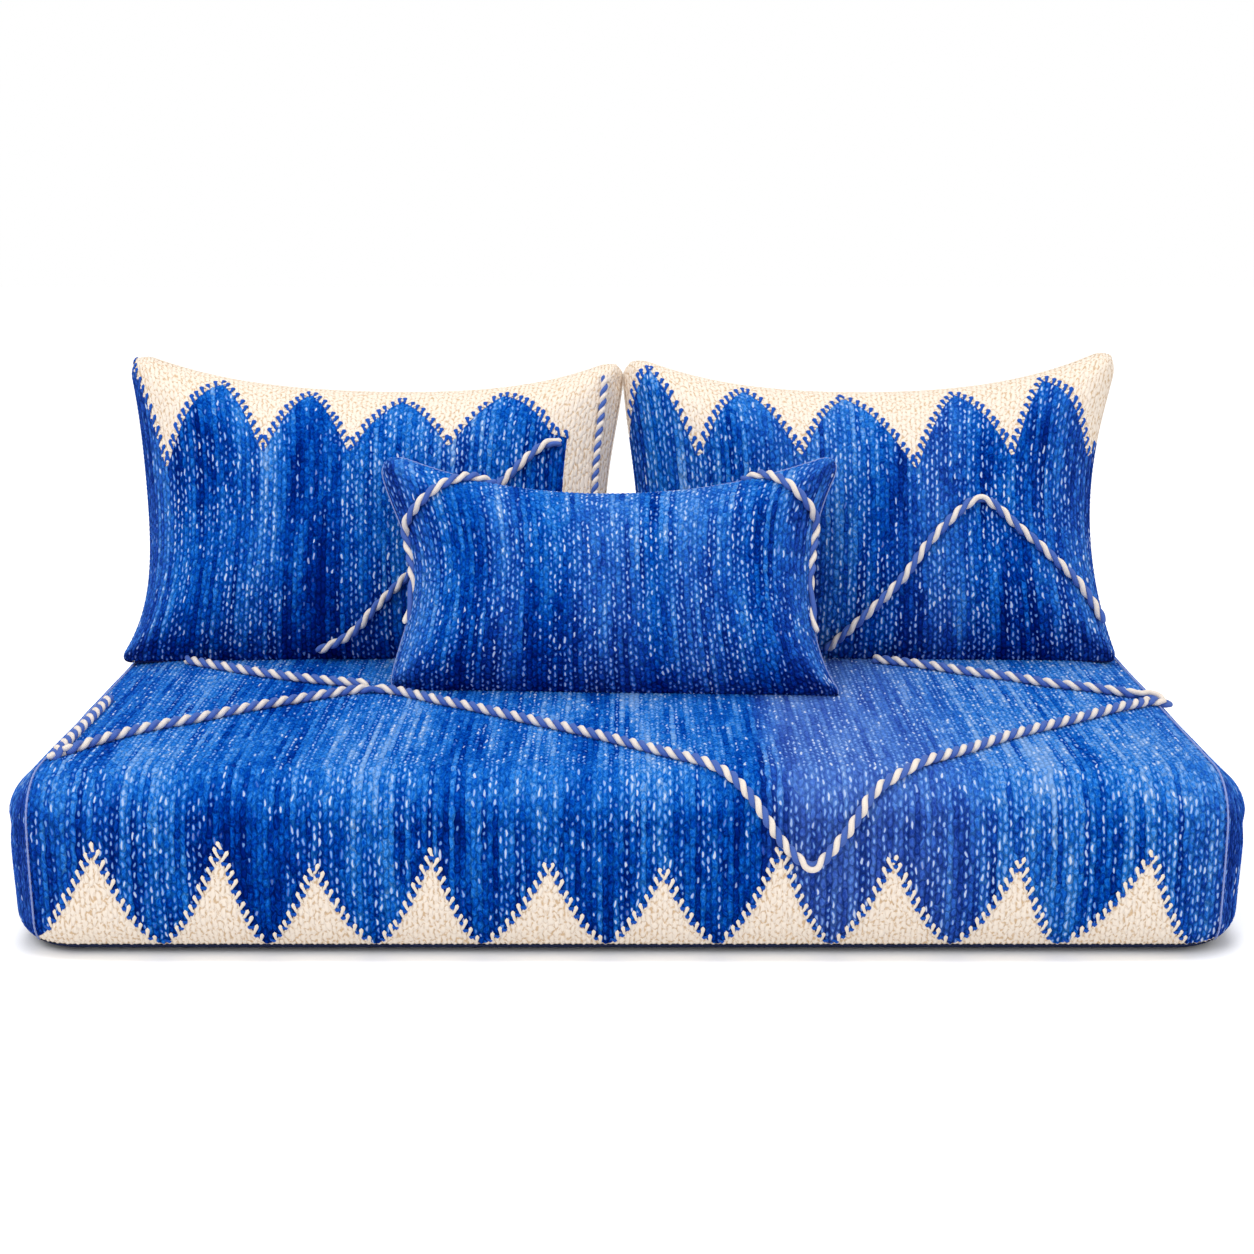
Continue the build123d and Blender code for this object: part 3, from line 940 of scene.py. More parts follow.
@dataclass(frozen=True)
class HookStitch:
    """Small hooked stitches that lock one colour into the other along an outline; sizes in millimetres."""

    pitch: float = 10.6
    length: float = 11.5
    width: float = 1.8
    head: float = 3.0
    lean: float = 0.6
    curl: float = 0.22
    flatness: float = 0.42
    under: float = 0.45
    phase: float = 0.5
    uneven_pitch: float = 0.14
    lengths: Share = (0.78, 1.18)
    arch: float = 0.9
    sunk: float = 0.5
    margin: Share = (0.01, 0.006)
    sides: int = 8
    rings: int = 9

    def mesh(self, outline: Outline, into_cream: bool, last: float) -> Mesh:
        """All hooks of one outline.

        Args:
            outline: The line that they cross.
            into_cream: Whether they lie over the cream, or over the blue.
            last: The share across the cloth from which none are made.

        Returns:
            One mesh of closed stitches. A stitch's middle line runs off the outline along a leaning
            direction, its radius grows to a round head, and its height is a low arch.
        """
        scaled = outline.line() * outline.scale
        run = run_along(scaled)
        places = np.arange(self.pitch * self.phase, run[-1], self.pitch)
        draw = np.random.default_rng(len(places))
        places = places + draw.uniform(-self.uneven_pitch, self.uneven_pitch, len(places)) * self.pitch
        reach = draw.uniform(*self.lengths, len(places)) * self.length
        step = 1.5
        foot, ahead, behind = (read_along(places + off, run, scaled) for off in (0.0, step, -step))
        kept = np.all(foot / outline.scale > self.margin, axis=1) & (foot[:, 0] / outline.scale[0] < last)
        foot, tangent, reach = foot[kept], unit(ahead - behind)[kept], reach[kept]
        up = 1.0 if outline.cream_above == into_cream else -1.0
        normal = np.stack([-tangent[:, 1], tangent[:, 0]], 1)
        normal *= np.sign(normal[:, 1:2]) * up
        rise = np.sign(tangent[:, 1:2] + 1e-9)
        direction = unit(normal + self.lean * tangent * rise)
        share = np.linspace(0, 1, self.rings)
        curl = (share**2 * reach[:, None] * self.curl)[..., None]
        middle = (
            foot[:, None, :]
            + direction[:, None, :] * ((share - self.under) * reach[:, None])[..., None]
            + (tangent * rise)[:, None, :] * curl * up
        )
        points, normals = outline.panel.at(middle / outline.scale)
        radius = (self.width + (self.head - self.width) * smooth_step(share, 0.45, 0.8)) * MM
        radius = radius * np.sqrt(np.clip(1 - (2 * share - 1) ** 6, 0, 1))
        arch = (np.sin(share * math.pi) ** 0.5 * self.arch - self.sunk) * MM
        path = points + normals * arch[None, :, None]
        across = unit(np.cross(unit(np.gradient(path, axis=1)), normals))
        radii = np.broadcast_to(radius, path.shape[:2])
        hooks = carried(path, across, normals * self.flatness, radii, self.sides)
        return Mesh.joined([tube(rings, share * self.length * MM) for rings in hooks])


# Cords

@dataclass(frozen=True)
class TwistedCord:
    """Two plies laid round each other and sewn down to the cloth."""

    ply_radius: float = 3.15 * MM
    lay_radius: float = 2.55 * MM
    turn_length: float = 26.5 * MM
    step: float = 1.6 * MM
    sides: int = 10
    sink: float = 0.9 * MM
    taper: float = 2.5 * MM
    hand_change: int = 6
    points_a_span: int = 24

    @staticmethod
    def smooth_route(shares: Sequence[tuple[float, ...]]) -> Array:
        """Points along the smooth NURBS line through a route's control points.

        A third number of a control point is how much deeper the cord is sewn in there, in millimetres.

        Args:
            shares: The control points.

        Returns:
            The line's points, each with its third number.
        """
        curve = bpy.data.curves.new("route", "CURVE")
        curve.dimensions = "3D"
        curve.resolution_u = TwistedCord.points_a_span
        spline = curve.splines.new("NURBS")
        spline.points.add(len(shares) - 1)
        for point, share in zip(spline.points, shares):
            point.co = (*share, 0.0, 1.0)[:3] + (1.0,)
        spline.order_u = 3
        spline.use_endpoint_u = True
        carrier = bpy.data.objects.new("route", curve)
        bpy.context.scene.collection.objects.link(carrier)
        bpy.context.view_layer.update()
        read = bpy.data.meshes.new_from_object(carrier.evaluated_get(bpy.context.evaluated_depsgraph_get()))
        flat = np.empty(len(read.vertices) * 3, np.float32)
        read.vertices.foreach_get("co", flat)
        bpy.data.objects.remove(carrier)
        bpy.data.curves.remove(curve)
        bpy.data.meshes.remove(read)
        return flat.reshape(-1, 3).astype(float)

    def mesh(self, route: Array, points: Array, normals: Array) -> Mesh:
        """The two plies along a path on the cloth.

        Args:
            route: The path on the flat cloth and how much deeper it is sewn in; where it rises the twist
                is left-handed, and right-handed where it falls.
            points: Points of the cloth under the cord.
            normals: The cloth's normals there.

        Returns:
            The mesh: each ply's middle turns round the cord's line once in a turn length.
        """
        run = run_along(points)
        keep = np.concatenate([[True], np.diff(run) > 1e-7])
        route, points, normals, run = route[keep], points[keep], normals[keep], run[keep]
        slope = np.gradient(route[:, :2], axis=0)
        rising = np.sign(slope[:, 0] * slope[:, 1] + 1e-12)
        places = np.linspace(0, run[-1], max(int(run[-1] / self.step), 8))
        up = unit(read_along(places, run, normals))
        sink = self.sink + np.interp(places, run, route[:, 2]) * MM
        path = read_along(places, run, points) + up * (self.ply_radius + self.lay_radius - sink)[:, None]
        along = unit(np.gradient(path, axis=0))
        across = unit(np.cross(along, up))
        up = np.cross(across, along)
        ends = np.minimum(places, places[-1] - places)
        radii = self.ply_radius * np.sqrt(np.clip(ends / self.taper, 0.02, 1))
        width = 2 * self.hand_change + 1
        hand = np.pad(-np.interp(places, run, rising), self.hand_change, mode="edge")
        hand = np.convolve(hand, np.full(width, 1 / width), "valid")
        turns = np.cumsum(hand * np.gradient(places)) / self.turn_length
        plies = []
        for ply in (0, 1):
            turn = (turns + ply / 2) * 2 * math.pi
            out = np.cos(turn)[:, None] * up + np.sin(turn)[:, None] * across
            middle = path + out * self.lay_radius
            heading = unit(np.gradient(middle, axis=0))
            side = unit(np.cross(heading, up))
            plies.append(tube(carried(middle, side, np.cross(side, heading), radii, self.sides), places, ply))
        log.info("cord of %.0f mm", run[-1] / MM)
        return Mesh.joined(plies)


@dataclass(frozen=True)
class SeamRoll:
    """A thin sewn edge along a seam: a small round profile that swells between its stitches."""

    radius: float
    step: float = 3 * MM
    stitch: float = 6.5 * MM
    swell: float = 0.22
    sides: int = 6

    def mesh(self, points: Array, normals: Array) -> Mesh:
        """Makes the edge.

        Args:
            points: Points along the border of the cloth.
            normals: The cloth's normals there.

        Returns:
            The mesh.
        """
        run = run_along(points)
        places = np.linspace(0, run[-1], int(run[-1] / self.step))
        path = read_along(places, run, points)
        up = unit(read_along(places, run, normals))
        across = unit(np.cross(unit(np.gradient(path, axis=0)), up))
        radii = self.radius * (1 + self.swell * np.sin(places / self.stitch * 2 * math.pi))
        return tube(carried(path, across, up, radii, self.sides), places)


# Zips

@dataclass(frozen=True)
class ZipLine:
    """The turned coils of a zip, in place of its plain bars."""

    key: str
    body: str
    middle: Array
    along: Array
    across: Array
    opening: float
    gap: float = 1.6 * MM
    width: float = 2.4 * MM
    height: float = 2.0 * MM
    sunk: float = 0.3 * MM
    wire: float = 0.42 * MM
    turn_length: float = 2.0 * MM
    points_a_turn: int = 6
    sides: int = 4

    def build(self, coil: Material) -> None:
        """Makes the two coils: a flattened spiral, cosine across and sine out, carried along the opening.

        Args:
            coil: Their material.
        """
        outward = np.cross(self.along, self.across)
        turns = int(self.opening / self.turn_length)
        turn = np.arange(turns * self.points_a_turn) / self.points_a_turn
        places = (turn / turns - 0.5) * (self.opening - 1 * MM)
        reach_across = (self.width / 2 - self.wire) * np.cos(2 * math.pi * turn)
        reach_out = (self.height / 2 - self.wire) * np.sin(2 * math.pi * turn)
        for side, name in ((1, "upper"), (-1, "lower")):
            path = (
                self.middle
                + places[:, None] * self.along
                + (side * (self.gap + self.width) / 2 + reach_across)[:, None] * self.across
                + (self.height / 2 - self.sunk + reach_out)[:, None] * outward
            )
            heading = unit(np.gradient(path, axis=0))
            aside = unit(np.cross(heading, self.along + 0.001 * outward))
            radii = np.full(len(path), self.wire)
            rings = carried(path, aside, np.cross(aside, heading), radii, self.sides)
            mesh = Mesh(rings.reshape(-1, 3), ring_faces(len(path), self.sides))
            stands_for = [f"{self.key}_zip_coil_{name}"]
            place(mesh, f"{self.key}_zip_coil_turns_{name}", [coil], self.body, "zip_coil", stands_for)


# Seat block

SEAT_CORDS = {
    "seat_cord_lozenge": (
        (-0.930, -0.16, 1.5), (-0.930, -0.36, 1.5), (-0.932, -0.54, 1.5), (-0.934, -0.70, 1.2),
        (-0.935, -0.78, 1.0), (-0.936, -0.83, 2.0), (-0.936, -0.84, 3.0), (-0.932, -0.82, 2.0),
        (-0.912, -0.75), (-0.866, -0.64), (-0.811, -0.531),
        (-0.746, -0.44), (-0.598, -0.227), (-0.453, -0.061), (-0.331, -0.238), (-0.220, -0.374),
        (-0.044, -0.617), (0.062, -0.786), (0.118, -0.869), (0.164, -0.925), (0.198, -0.994),
        (0.222, -1.053), (0.252, -1.133), (0.285, -1.183), (0.300, -1.183), (0.334, -1.116),
        (0.368, -1.031), (0.391, -0.971), (0.442, -0.914), (0.505, -0.834), (0.624, -0.638),
        (0.736, -0.485), (0.806, -0.391), (0.862, -0.311), (0.915, -0.231), (0.938, -0.206),
        (0.960, -0.185), (0.978, -0.15), (0.957, -0.118), (0.920, -0.128), (0.875, -0.112),
        (0.845, -0.083), (0.805, -0.055), (0.759, -0.020), (0.714, 0.045), (0.648, 0.105),
        (0.580, 0.190), (0.519, 0.250), (0.470, 0.285),
    ),
    "seat_cord_back": (
        (-0.470, -0.045), (-0.549, 0.00), (-0.650, 0.075), (-0.760, 0.18), (-0.845, 0.275),
    ),
}
SEAT_BANDS = (
    Band(0.00, 0.38, 0.08, 0.22), Band(0.05, 0.38, 0.04, 0.32), Band(0.11, 0.46, 0.0, 0.60),
    Band(0.155, 0.34, 0.0, 0.20), Band(0.19, 0.24, 0.0, 0.08), Band(0.235, 0.44, 0.0, 0.40),
    Band(0.30, 0.60, 0.0, 0.60), Band(0.345, 0.30, 0.0, 0.15), Band(0.39, 0.40, 0.0, 0.30),
    Band(0.43, 0.54, 0.0, 0.50), Band(0.47, 0.32, 0.0, 0.18), Band(0.515, 0.58, 0.0, 0.70),
    Band(0.57, 0.36, 0.0, 0.35), Band(0.61, 0.30, 0.0, 0.12), Band(0.64, 0.38, 0.80, 0.45),
    Band(0.70, 0.42, 0.85, 0.55), Band(0.76, 0.40, 0.55, 0.40), Band(0.81, 0.56, 0.10, 0.75),
    Band(0.86, 0.66, 0.05, 0.80), Band(0.89, 0.40, 0.0, 0.35), Band(0.93, 0.64, 0.0, 0.75),
    Band(0.97, 0.50, 0.10, 0.60), Band(1.0, 0.48, 0.20, 0.35),
)
SIDE_BANDS = (
    Band(0.0, 0.45, 0.45, 0.10), Band(0.15, 0.34, 0.15, 0.15), Band(0.32, 0.50, 0.10, 0.35),
    Band(0.45, 0.24, 0.0, 0.10), Band(0.60, 0.42, 0.30, 0.25), Band(0.75, 0.30, 0.05, 0.15),
    Band(0.88, 0.48, 0.30, 0.35), Band(1.0, 0.40, 0.45, 0.10),
)


@dataclass
class SeatBlock:
    """The thick seat: one wrap of kilim over top, front and back, with sewn-in sides and a canvas base."""

    length: float = 1250 * MM
    depth: float = 700 * MM
    height: float = 185 * MM
    corner: float = 70 * MM
    top_edge: float = 50 * MM
    base_edge: float = 35 * MM
    base_seam: float = 10 * MM
    side_seam: float = 595 * MM
    zip_height: float = 62 * MM
    zip_opening: float = 960 * MM
    zip_slot: float = 16 * MM
    zip_margin: float = 12 * MM
    wall_bow: float = 2.5 * MM
    cord_turn: float = 23.5 * MM
    columns: int = 220
    side_columns: int = 148
    side_rows: int = 17
    last_hook: float = 0.99
    fill: float = 0.9
    peaks: tuple[Share, ...] = (
        (-604, 12), (-527, 117), (-466, 12), (-401, 119), (-361, 12), (-309, 99), (-252, 12), (-193, 112),
        (-146, 12), (-77, 101), (-21, 12), (36, 94), (90, 12), (152, 117), (204, 12), (263, 107), (325, 12),
        (388, 105), (431, 12), (518, 111), (563, 12), (604, 16),
    )

    def __post_init__(self) -> None:
        """Lengths of cloth along the section, from the base seam to the flat top."""
        self.base_angle = math.asin((self.base_edge - self.base_seam) / self.base_edge)
        self.base_run = self.base_edge * self.base_angle
        self.wall_run = self.height - self.top_edge - self.base_edge
        self.top_run = self.top_edge * math.pi / 2
        self.edge_run = self.base_run + self.wall_run + self.top_run
        self.flat_depth = self.depth - 2 * self.top_edge
        self.wrap_run = 2 * self.edge_run + self.flat_depth

    def section(self, run: Array) -> tuple[Array, Array]:
        """The upright section: how far in and how high the cloth is, by its length from the base seam.

        The base edge and top edge are quarter circles, and the wall between them bows out a little.

        Args:
            run: Lengths of cloth from the base seam.

        Returns:
            How far in, and how high.
        """
        low = self.base_angle * (1 - np.clip(run / self.base_run, 0, 1))
        wall = np.clip(run - self.base_run, 0, self.wall_run)
        high = np.clip((run - self.base_run - self.wall_run) / self.top_edge, 0, math.pi / 2)
        inset = self.base_edge * (1 - np.cos(low)) + self.top_edge * (1 - np.cos(high))
        rise = self.base_edge * (1 - np.sin(low)) + wall + self.top_edge * np.sin(high)
        bow = self.wall_bow * np.sin(np.clip(run / (self.edge_run - 10 * MM), 0, 1) * math.pi) ** 2
        return inset - bow, rise

    def wrap(self, x: Array, run: Array) -> Array:
        """The wrap's points by place along the seat and length of cloth from the front base seam.

        Past the corner's start the front and back turn in on the corner's circle, and past the top edge's
        start the top follows that edge down.

        Args:
            x: Places along the seat.
            run: Lengths of cloth from the front base seam.

        Returns:
            The points.
        """
        past = np.maximum(np.abs(x) - (self.length / 2 - self.corner), 0)
        sharp = self.corner - self.top_edge
        from_front = np.minimum(run, self.wrap_run - run)
        start = self.base_run + self.wall_run
        bend = np.arcsin(np.clip((past - sharp) / self.top_edge, 0, 1))
        edge_share = np.clip((from_front - start) / self.top_run, 0, 1)
        eased = np.where(
            from_front > start, start + edge_share * (self.top_run - self.top_edge * bend), from_front
        )
        inset, rise = self.section(np.minimum(eased, self.edge_run))
        radius = np.maximum(self.corner - inset, 0)
        middle = self.depth / 2 - self.corner
        out = middle + np.sqrt(np.maximum(radius**2 - past**2, 0))
        over = np.clip((from_front - self.edge_run) / (self.flat_depth / 2), 0, 1)
        out = out * (1 - over)
        return np.stack([x, np.where(run < self.wrap_run / 2, -out, out), rise], -1)

    def side(self, u: Array, v: Array, sign: int) -> Array:
        """A side panel's points: round the plan from seam to seam, and up to where the seam's plane is.

        Args:
            u: Shares of the way from seam to seam.
            v: Shares of the way up.
            sign: 1 for the right panel and -1 for the left one.

        Returns:
            The points.
        """
        past = self.side_seam - (self.length / 2 - self.corner)
        sharp = self.corner - self.top_edge
        last = self.edge_run - self.top_edge * math.asin((past - sharp) / self.top_edge)
        inset, rise = self.section(v * last)
        radius = np.maximum(self.corner - inset, past)
        widest = np.arccos(np.clip(past / radius, -1, 1))
        middle = self.depth / 2 - self.corner
        bend = 0.12
        start = np.clip(u / bend, 0, 1) - 1
        end = np.clip((u - 1 + bend) / bend, 0, 1)
        angle = widest * (start + end) * sign
        straight = (np.clip((u - bend) / (1 - 2 * bend), 0, 1) * 2 - 1) * middle * sign
        x = sign * (self.length / 2 - self.corner + radius * np.cos(angle))
        return np.stack([x, straight + radius * np.sin(angle), rise], -1)

    def base(self, u: Array, v: Array) -> Array:
        """The base's points: round its outline, and from its seam in under the edge to the middle.

        The outline is the corner circles' centres, joined by straight lines, plus the corner's radius.

        Args:
            u: Shares of the way round.
            v: Shares of the way in.

        Returns:
            The points.
        """
        mid_x, mid_y = self.length / 2 - self.corner, self.depth / 2 - self.corner
        arc = self.corner * math.pi / 2
        legs = np.cumsum([0, 2 * mid_y, arc, 2 * mid_x, arc, 2 * mid_y, arc, 2 * mid_x, arc])
        run = (1 - u) * legs[-1]
        core_x = np.interp(run, legs, np.array([1, 1, 1, -1, -1, -1, -1, 1, 1]) * mid_x)
        core_y = np.interp(run, legs, np.array([-1, 1, 1, 1, 1, -1, -1, -1, -1]) * mid_y)
        turn = np.interp(run, legs, np.array([0, 0, 1, 1, 2, 2, 3, 3, 4]) * math.pi / 2)
        low = self.base_angle + (math.pi / 2 - self.base_angle) * np.clip(v * 2, 0, 1)
        radius = self.corner - self.base_edge * (1 - np.cos(low))
        shrink = 1 - np.clip(v * 2 - 1, 0, 1)
        x = (core_x + radius * np.cos(turn)) * shrink
        y = (core_y + radius * np.sin(turn)) * shrink
        return np.stack([x, y, self.base_edge * (1 - np.sin(low))], -1)

    def slot_share(self, x: Array) -> Array:
        """How open the zip's slot is along the back: 1 over its length and 0 past its ends."""
        half = self.zip_opening / 2 + self.zip_margin
        return 1 - smooth_step(np.abs(x), half, half + 8 * MM)

    def unfolded(self, shares: Array) -> tuple[Array, Array]:
        """Points of the cloth under a cord, and their normals.

        Args:
            shares: Pairs of shares of the way from the seat's middle to its sides, and to its front and back.

        Returns:
            The points and normals.
        """
        across = shares[:, 0] * self.length / 2
        deep = shares[:, 1] * self.depth / 2
        flat = self.length / 2 - self.top_edge

        def laid(across: Array, deep: Array) -> Array:
            """Points over the top and down past either edge, each edge a quarter circle and then straight."""
            over = np.clip((np.abs(across) - flat) / self.top_edge, 0, math.pi / 2)
            run = self.wrap_run / 2 + deep
            points = self.wrap(np.clip(across, -flat, flat), run)
            points = points + self.wrap_panel.move_at((across / self.side_seam + 1) / 2, run / self.cloth_run)
            points[:, 0] += np.sign(across) * self.top_edge * np.sin(over)
            points[:, 2] -= self.top_edge * (1 - np.cos(over))
            return points

        step = 1 * MM
        slope_x = laid(across + step, deep) - laid(across - step, deep)
        slope_y = laid(across, deep + step) - laid(across, deep - step)
        return laid(across, deep), unit(np.cross(slope_x, slope_y))

    def build(self, finishes: Finishes) -> None:
        """Makes the seat's cloth, stitches, cords and zip.

        Args:
            finishes: The shared finishes.
        """
        self.rear_run = self.base_run + (self.zip_height - self.base_edge)
        self.cloth_run = self.wrap_run - self.rear_run
        half_slot = self.zip_slot / 2
        kilim = [finishes["seat_kilim"]]

        def wrap_form(u: Array, v: Array) -> Array:
            """The wrap from the front base seam to the zip."""
            x = (2 * u - 1) * self.side_seam
            cut_back = half_slot * self.slot_share(x) * smooth_step(v, 0.9, 1.0)
            return self.wrap(x, v * self.cloth_run - cut_back)

        def strip_form(u: Array, v: Array) -> Array:
            """The strip from the back base seam up to the zip, read from behind."""
            x = (1 - 2 * u) * self.side_seam
            return self.wrap(x, self.wrap_run - v * (self.rear_run - half_slot * self.slot_share(x)))

        def rear_stiff(u: Array, v: Array) -> Array:
            """Holds the cloth where it is sewn to the zip."""
            return smooth_step(v, 0.88, 0.96)

        rows = round(self.cloth_run / ROW_PITCH)
        self.wrap_panel = Panel(
            wrap_form, self.columns, rows, Swelling(3 * MM), rear_stiff, seed=3, uneven=0.8 * MM
        )
        outline = Outline(
            tuple((x * MM / self.side_seam / 2 + 0.5, self.height_share(z * MM)) for x, z in self.peaks),
            first_is_sharp=False, roundness=0.6, panel=self.wrap_panel, cream_above=False, grown=-2.2,
        )
        hidden = ["seat_wrap_panel", "seat_wadding", "seat_foam_core"]
        wrap = self.wrap_panel.mesh(outline.side)
        place(wrap, "seat_wrap_cloth", kilim, "seat", "kilim", hidden, self.fill)

        long_hooks = HookStitch(width=1.5, head=2.3).mesh(outline, False, self.last_hook)
        short_hooks = HookStitch(length=8.0, width=1.7, head=2.4, under=0.42, phase=1.0)
        short_hooks = short_hooks.mesh(outline, True, self.last_hook)
        place(long_hooks, "seat_hook_stitches", [finishes["cream_yarn"]], "seat", "kilim")
        place(short_hooks, "seat_hook_stitches_blue", [finishes["blue_yarn"]], "seat", "kilim")

        strip = Panel(strip_form, self.columns, 4, uneven=0.0, seed=4).mesh()
        place(strip, "seat_rear_strip_cloth", kilim, "seat", "kilim", ["seat_rear_strip"], self.fill)
        seams = []
        for sign, name in ((1, "right"), (-1, "left")):
            side = Panel(
                lambda u, v, sign=sign: self.side(u, v, sign), self.side_columns, self.side_rows,
                Swelling(2.5 * MM), seed=5 + sign, uneven=0.8 * MM,
            )
            place(
                side.mesh(), f"seat_side_cloth_{name}", [finishes["side_kilim"]], "seat", "kilim",
                [f"seat_side_panel_{name}"], self.fill,
            )
            border = np.stack([np.full(400, (sign + 1) / 2), np.linspace(0, 1, 400)], 1)
            seams.append(SeamRoll(1.1 * MM).mesh(*self.wrap_panel.at(border)))
        place(Mesh.joined(seams), "seat_side_seams", [finishes["seam_yarn"]], "seat", "kilim")
        base = Panel(self.base, 400, 24, uneven=0.0, hem=0.1 * MM, steps_up=2, steps_across=1).mesh()
        place(base, "seat_base_canvas", [finishes["canvas"]], "seat", "base_canvas", ["seat_base_panel"])

        cord = TwistedCord(turn_length=self.cord_turn)
        plies = [finishes["blue_ply"], finishes["cream_ply"]]
        for name, shares in SEAT_CORDS.items():
            route = cord.smooth_route(shares)
            mesh = cord.mesh(route, *self.unfolded(route[:, :2]))
            place(mesh, f"{name}_plies", plies, "seat", "twisted_cord", [name])
        ZipLine(
            "seat", "seat", np.array([0, self.depth / 2, self.zip_height]), np.array([-1.0, 0, 0]),
            np.array([0, 0, 1.0]), self.zip_opening,
        ).build(finishes["coil"])

    def height_share(self, height: float) -> float:
        """A height on the front as a share of the wrap's cloth.

        Args:
            height: The height, from the floor.

        Returns:
            The share.
        """
        if height < self.base_edge:
            angle = math.asin((self.base_edge - height) / self.base_edge)
            run = self.base_edge * (self.base_angle - angle)
        else:
            run = self.base_run + height - self.base_edge
        return run / self.cloth_run


# Upright cushions

CROWN_POWER = 0.55
SEAM_FILL = 0.0017


class Cover(Enum):
    """A cushion's two covers, by the way that each swells from the seam's plane."""

    FRONT = 1
    REAR = -1


@dataclass
class UprightCushion:
    """A cushion of two covers sewn along one outline, leaning back on the seat."""

    key: str
    body: str
    width: float
    height: float
    front_depth: float
    rear_depth: float
    drawn_top: float
    drawn_side: float
    lean: float
    yaw: float
    seam_x: float
    seam_y: float
    top_shift: float
    zip_opening: float
    bands: tuple[Band, ...]
    cords: dict[str, tuple[Share, ...]]
    seed: int
    left_edge: tuple[float, ...]
    right_edge: tuple[float, ...]
    top_edge: tuple[float, ...]
    corners: tuple[Share, ...] = ()
    first_is_sharp: bool = False
    cream_from: Optional[float] = None
    cream_grown: float = 2.6
    last_hook: float = 0.985
    seam_lift: float = 0.8 * MM
    row_pitch: float = 9.6 * MM
    tip_radius: float = 32 * MM
    foot_radius: float = 14 * MM
    seat_height: float = 185 * MM
    resting: float = 0.3 * MM
    fill: float = 0.85
    zip_level: float = 0.8
    front_fullness: float = 2.4
    rear_fullness: float = 4.0
    corner_fullness: float = 2.2
    plain_sharpness: float = 10.0
    zip_slot: float = 16 * MM
    zip_margin: float = 12 * MM

    def __post_init__(self) -> None:
        """The seam's plane: x along the cushion, y up its height and z out of its front."""
        turn, tilt = math.radians(self.yaw), math.radians(self.lean)
        self.x = np.array([math.cos(turn), math.sin(turn), 0.0])
        rearward = np.array([-math.sin(turn), math.cos(turn), 0.0])
        self.y = rearward * math.sin(tilt) + np.array([0, 0, 1.0]) * math.cos(tilt)
        self.z = np.cross(self.x, self.y)
        base = np.array([self.seam_x, self.seam_y, self.seat_height + self.seam_lift])
        self.origin = base + self.y * self.height / 2
        self.bends = [
            np.polyfit((-1.0, -0.5, 0.0, 0.5, 1.0), np.array(edge) * MM, 4)
            for edge in (self.left_edge, self.right_edge, self.top_edge)
        ]
        self.tables = {}
        share = np.sin(np.linspace(-1, 1, 2001) * math.pi / 2)
        zero = np.zeros_like(share)
        for cover in Cover:
            lines = (self.half(share, zero, cover), self.half(zero, share, cover))
            self.tables[cover] = [(run_along(points), share) for points in lines]
        (across, _), (up, _) = self.tables[Cover.FRONT]
        self.columns, self.rows = round(across[-1] / THREAD_PITCH), round(up[-1] / self.row_pitch)

    def half(self, a: Array, b: Array, cover: Cover, sharpness: float = 3.0) -> Array:
        """One half's points by shares from -1 to 1 of the seam's outline.

        The outline's sides and top are drawn in between its corners by parabolas, bent by curves of the
        fourth degree that fade inwards, and its corners are rounded. The depth is the crown's power of a
        fill that falls to 0 at the seam: the rounded lesser of one less the side share's power and one
        less the height share's square.

        Args:
            a: Shares across, -1 at the left seam and 1 at the right one.
            b: Shares up, -1 at the foot and 1 at the top.
            cover: Which half.
            sharpness: How sharply the lesser of the two fills takes over.

        Returns:
            The points.
        """
        left, right, top = self.bends
        round_a, round_b = self.rounded(a, b)
        beside = np.where(a > 0, np.polyval(right, round_b), np.polyval(left, round_b))
        beside = beside * np.abs(round_a) ** 5
        above = np.where(b > 0, np.polyval(top, round_a), 0.0) * np.abs(round_b) ** 6
        x = round_a * (self.width / 2 - self.drawn_side * (1 - round_b**2)) + beside
        x = x + self.top_shift * (1 + round_b) / 2
        drawn = np.where(b > 0, self.drawn_top * (1 - round_a**2), 0.0)
        y = round_b * (self.height / 2 - drawn) + above
        if cover is Cover.FRONT:
            deepest, fullness = self.front_depth, self.front_fullness + self.corner_fullness * b**2
        else:
            deepest, fullness = self.rear_depth, self.rear_fullness
        fill_x = np.clip(1 - np.abs(a) ** fullness, 1e-5, 1)
        fill_y = np.clip(1 - b**2, 1e-5, 1)
        fill = (fill_x**-sharpness + fill_y**-sharpness) ** (-1 / sharpness)
        z = cover.value * np.maximum(deepest * (fill**CROWN_POWER - SEAM_FILL), 0)
        return self.origin + x[..., None] * self.x + y[..., None] * self.y + z[..., None] * self.z

    def rounded(self, a: Array, b: Array) -> tuple[Array, Array]:
        """Outline shares with the corners bent to quarter circles.

        In each corner's square, each share past the square's start is multiplied by the root of one less
        half the other one's square.

        Args:
            a: Shares across, from -1 to 1.
            b: Shares up, from -1 to 1.

        Returns:
            Both, bent.
        """
        radius = np.where(b > 0, self.tip_radius, self.foot_radius)
        start_a, start_b = radius / (self.width / 2), radius / (self.height / 2)
        past_a = np.clip((np.abs(a) - 1 + start_a) / start_a, 0, 1)
        past_b = np.clip((np.abs(b) - 1 + start_b) / start_b, 0, 1)
        round_a = a - np.sign(a) * start_a * past_a * (1 - np.sqrt(1 - past_b**2 / 2))
        round_b = b - np.sign(b) * start_b * past_b * (1 - np.sqrt(1 - past_a**2 / 2))
        return round_a, round_b

    def shares_of(self, u: Array, v: Array, cover: Cover) -> tuple[Array, Array]:
        """Cloth shares as outline shares: equal lengths of cloth along the middle lines stay equal."""
        (run_a, share_a), (run_b, share_b) = self.tables[cover]
        a = np.interp(u * run_a[-1], run_a, share_a)
        b = np.interp(v * run_b[-1], run_b, share_b)
        return cover.value * a, b

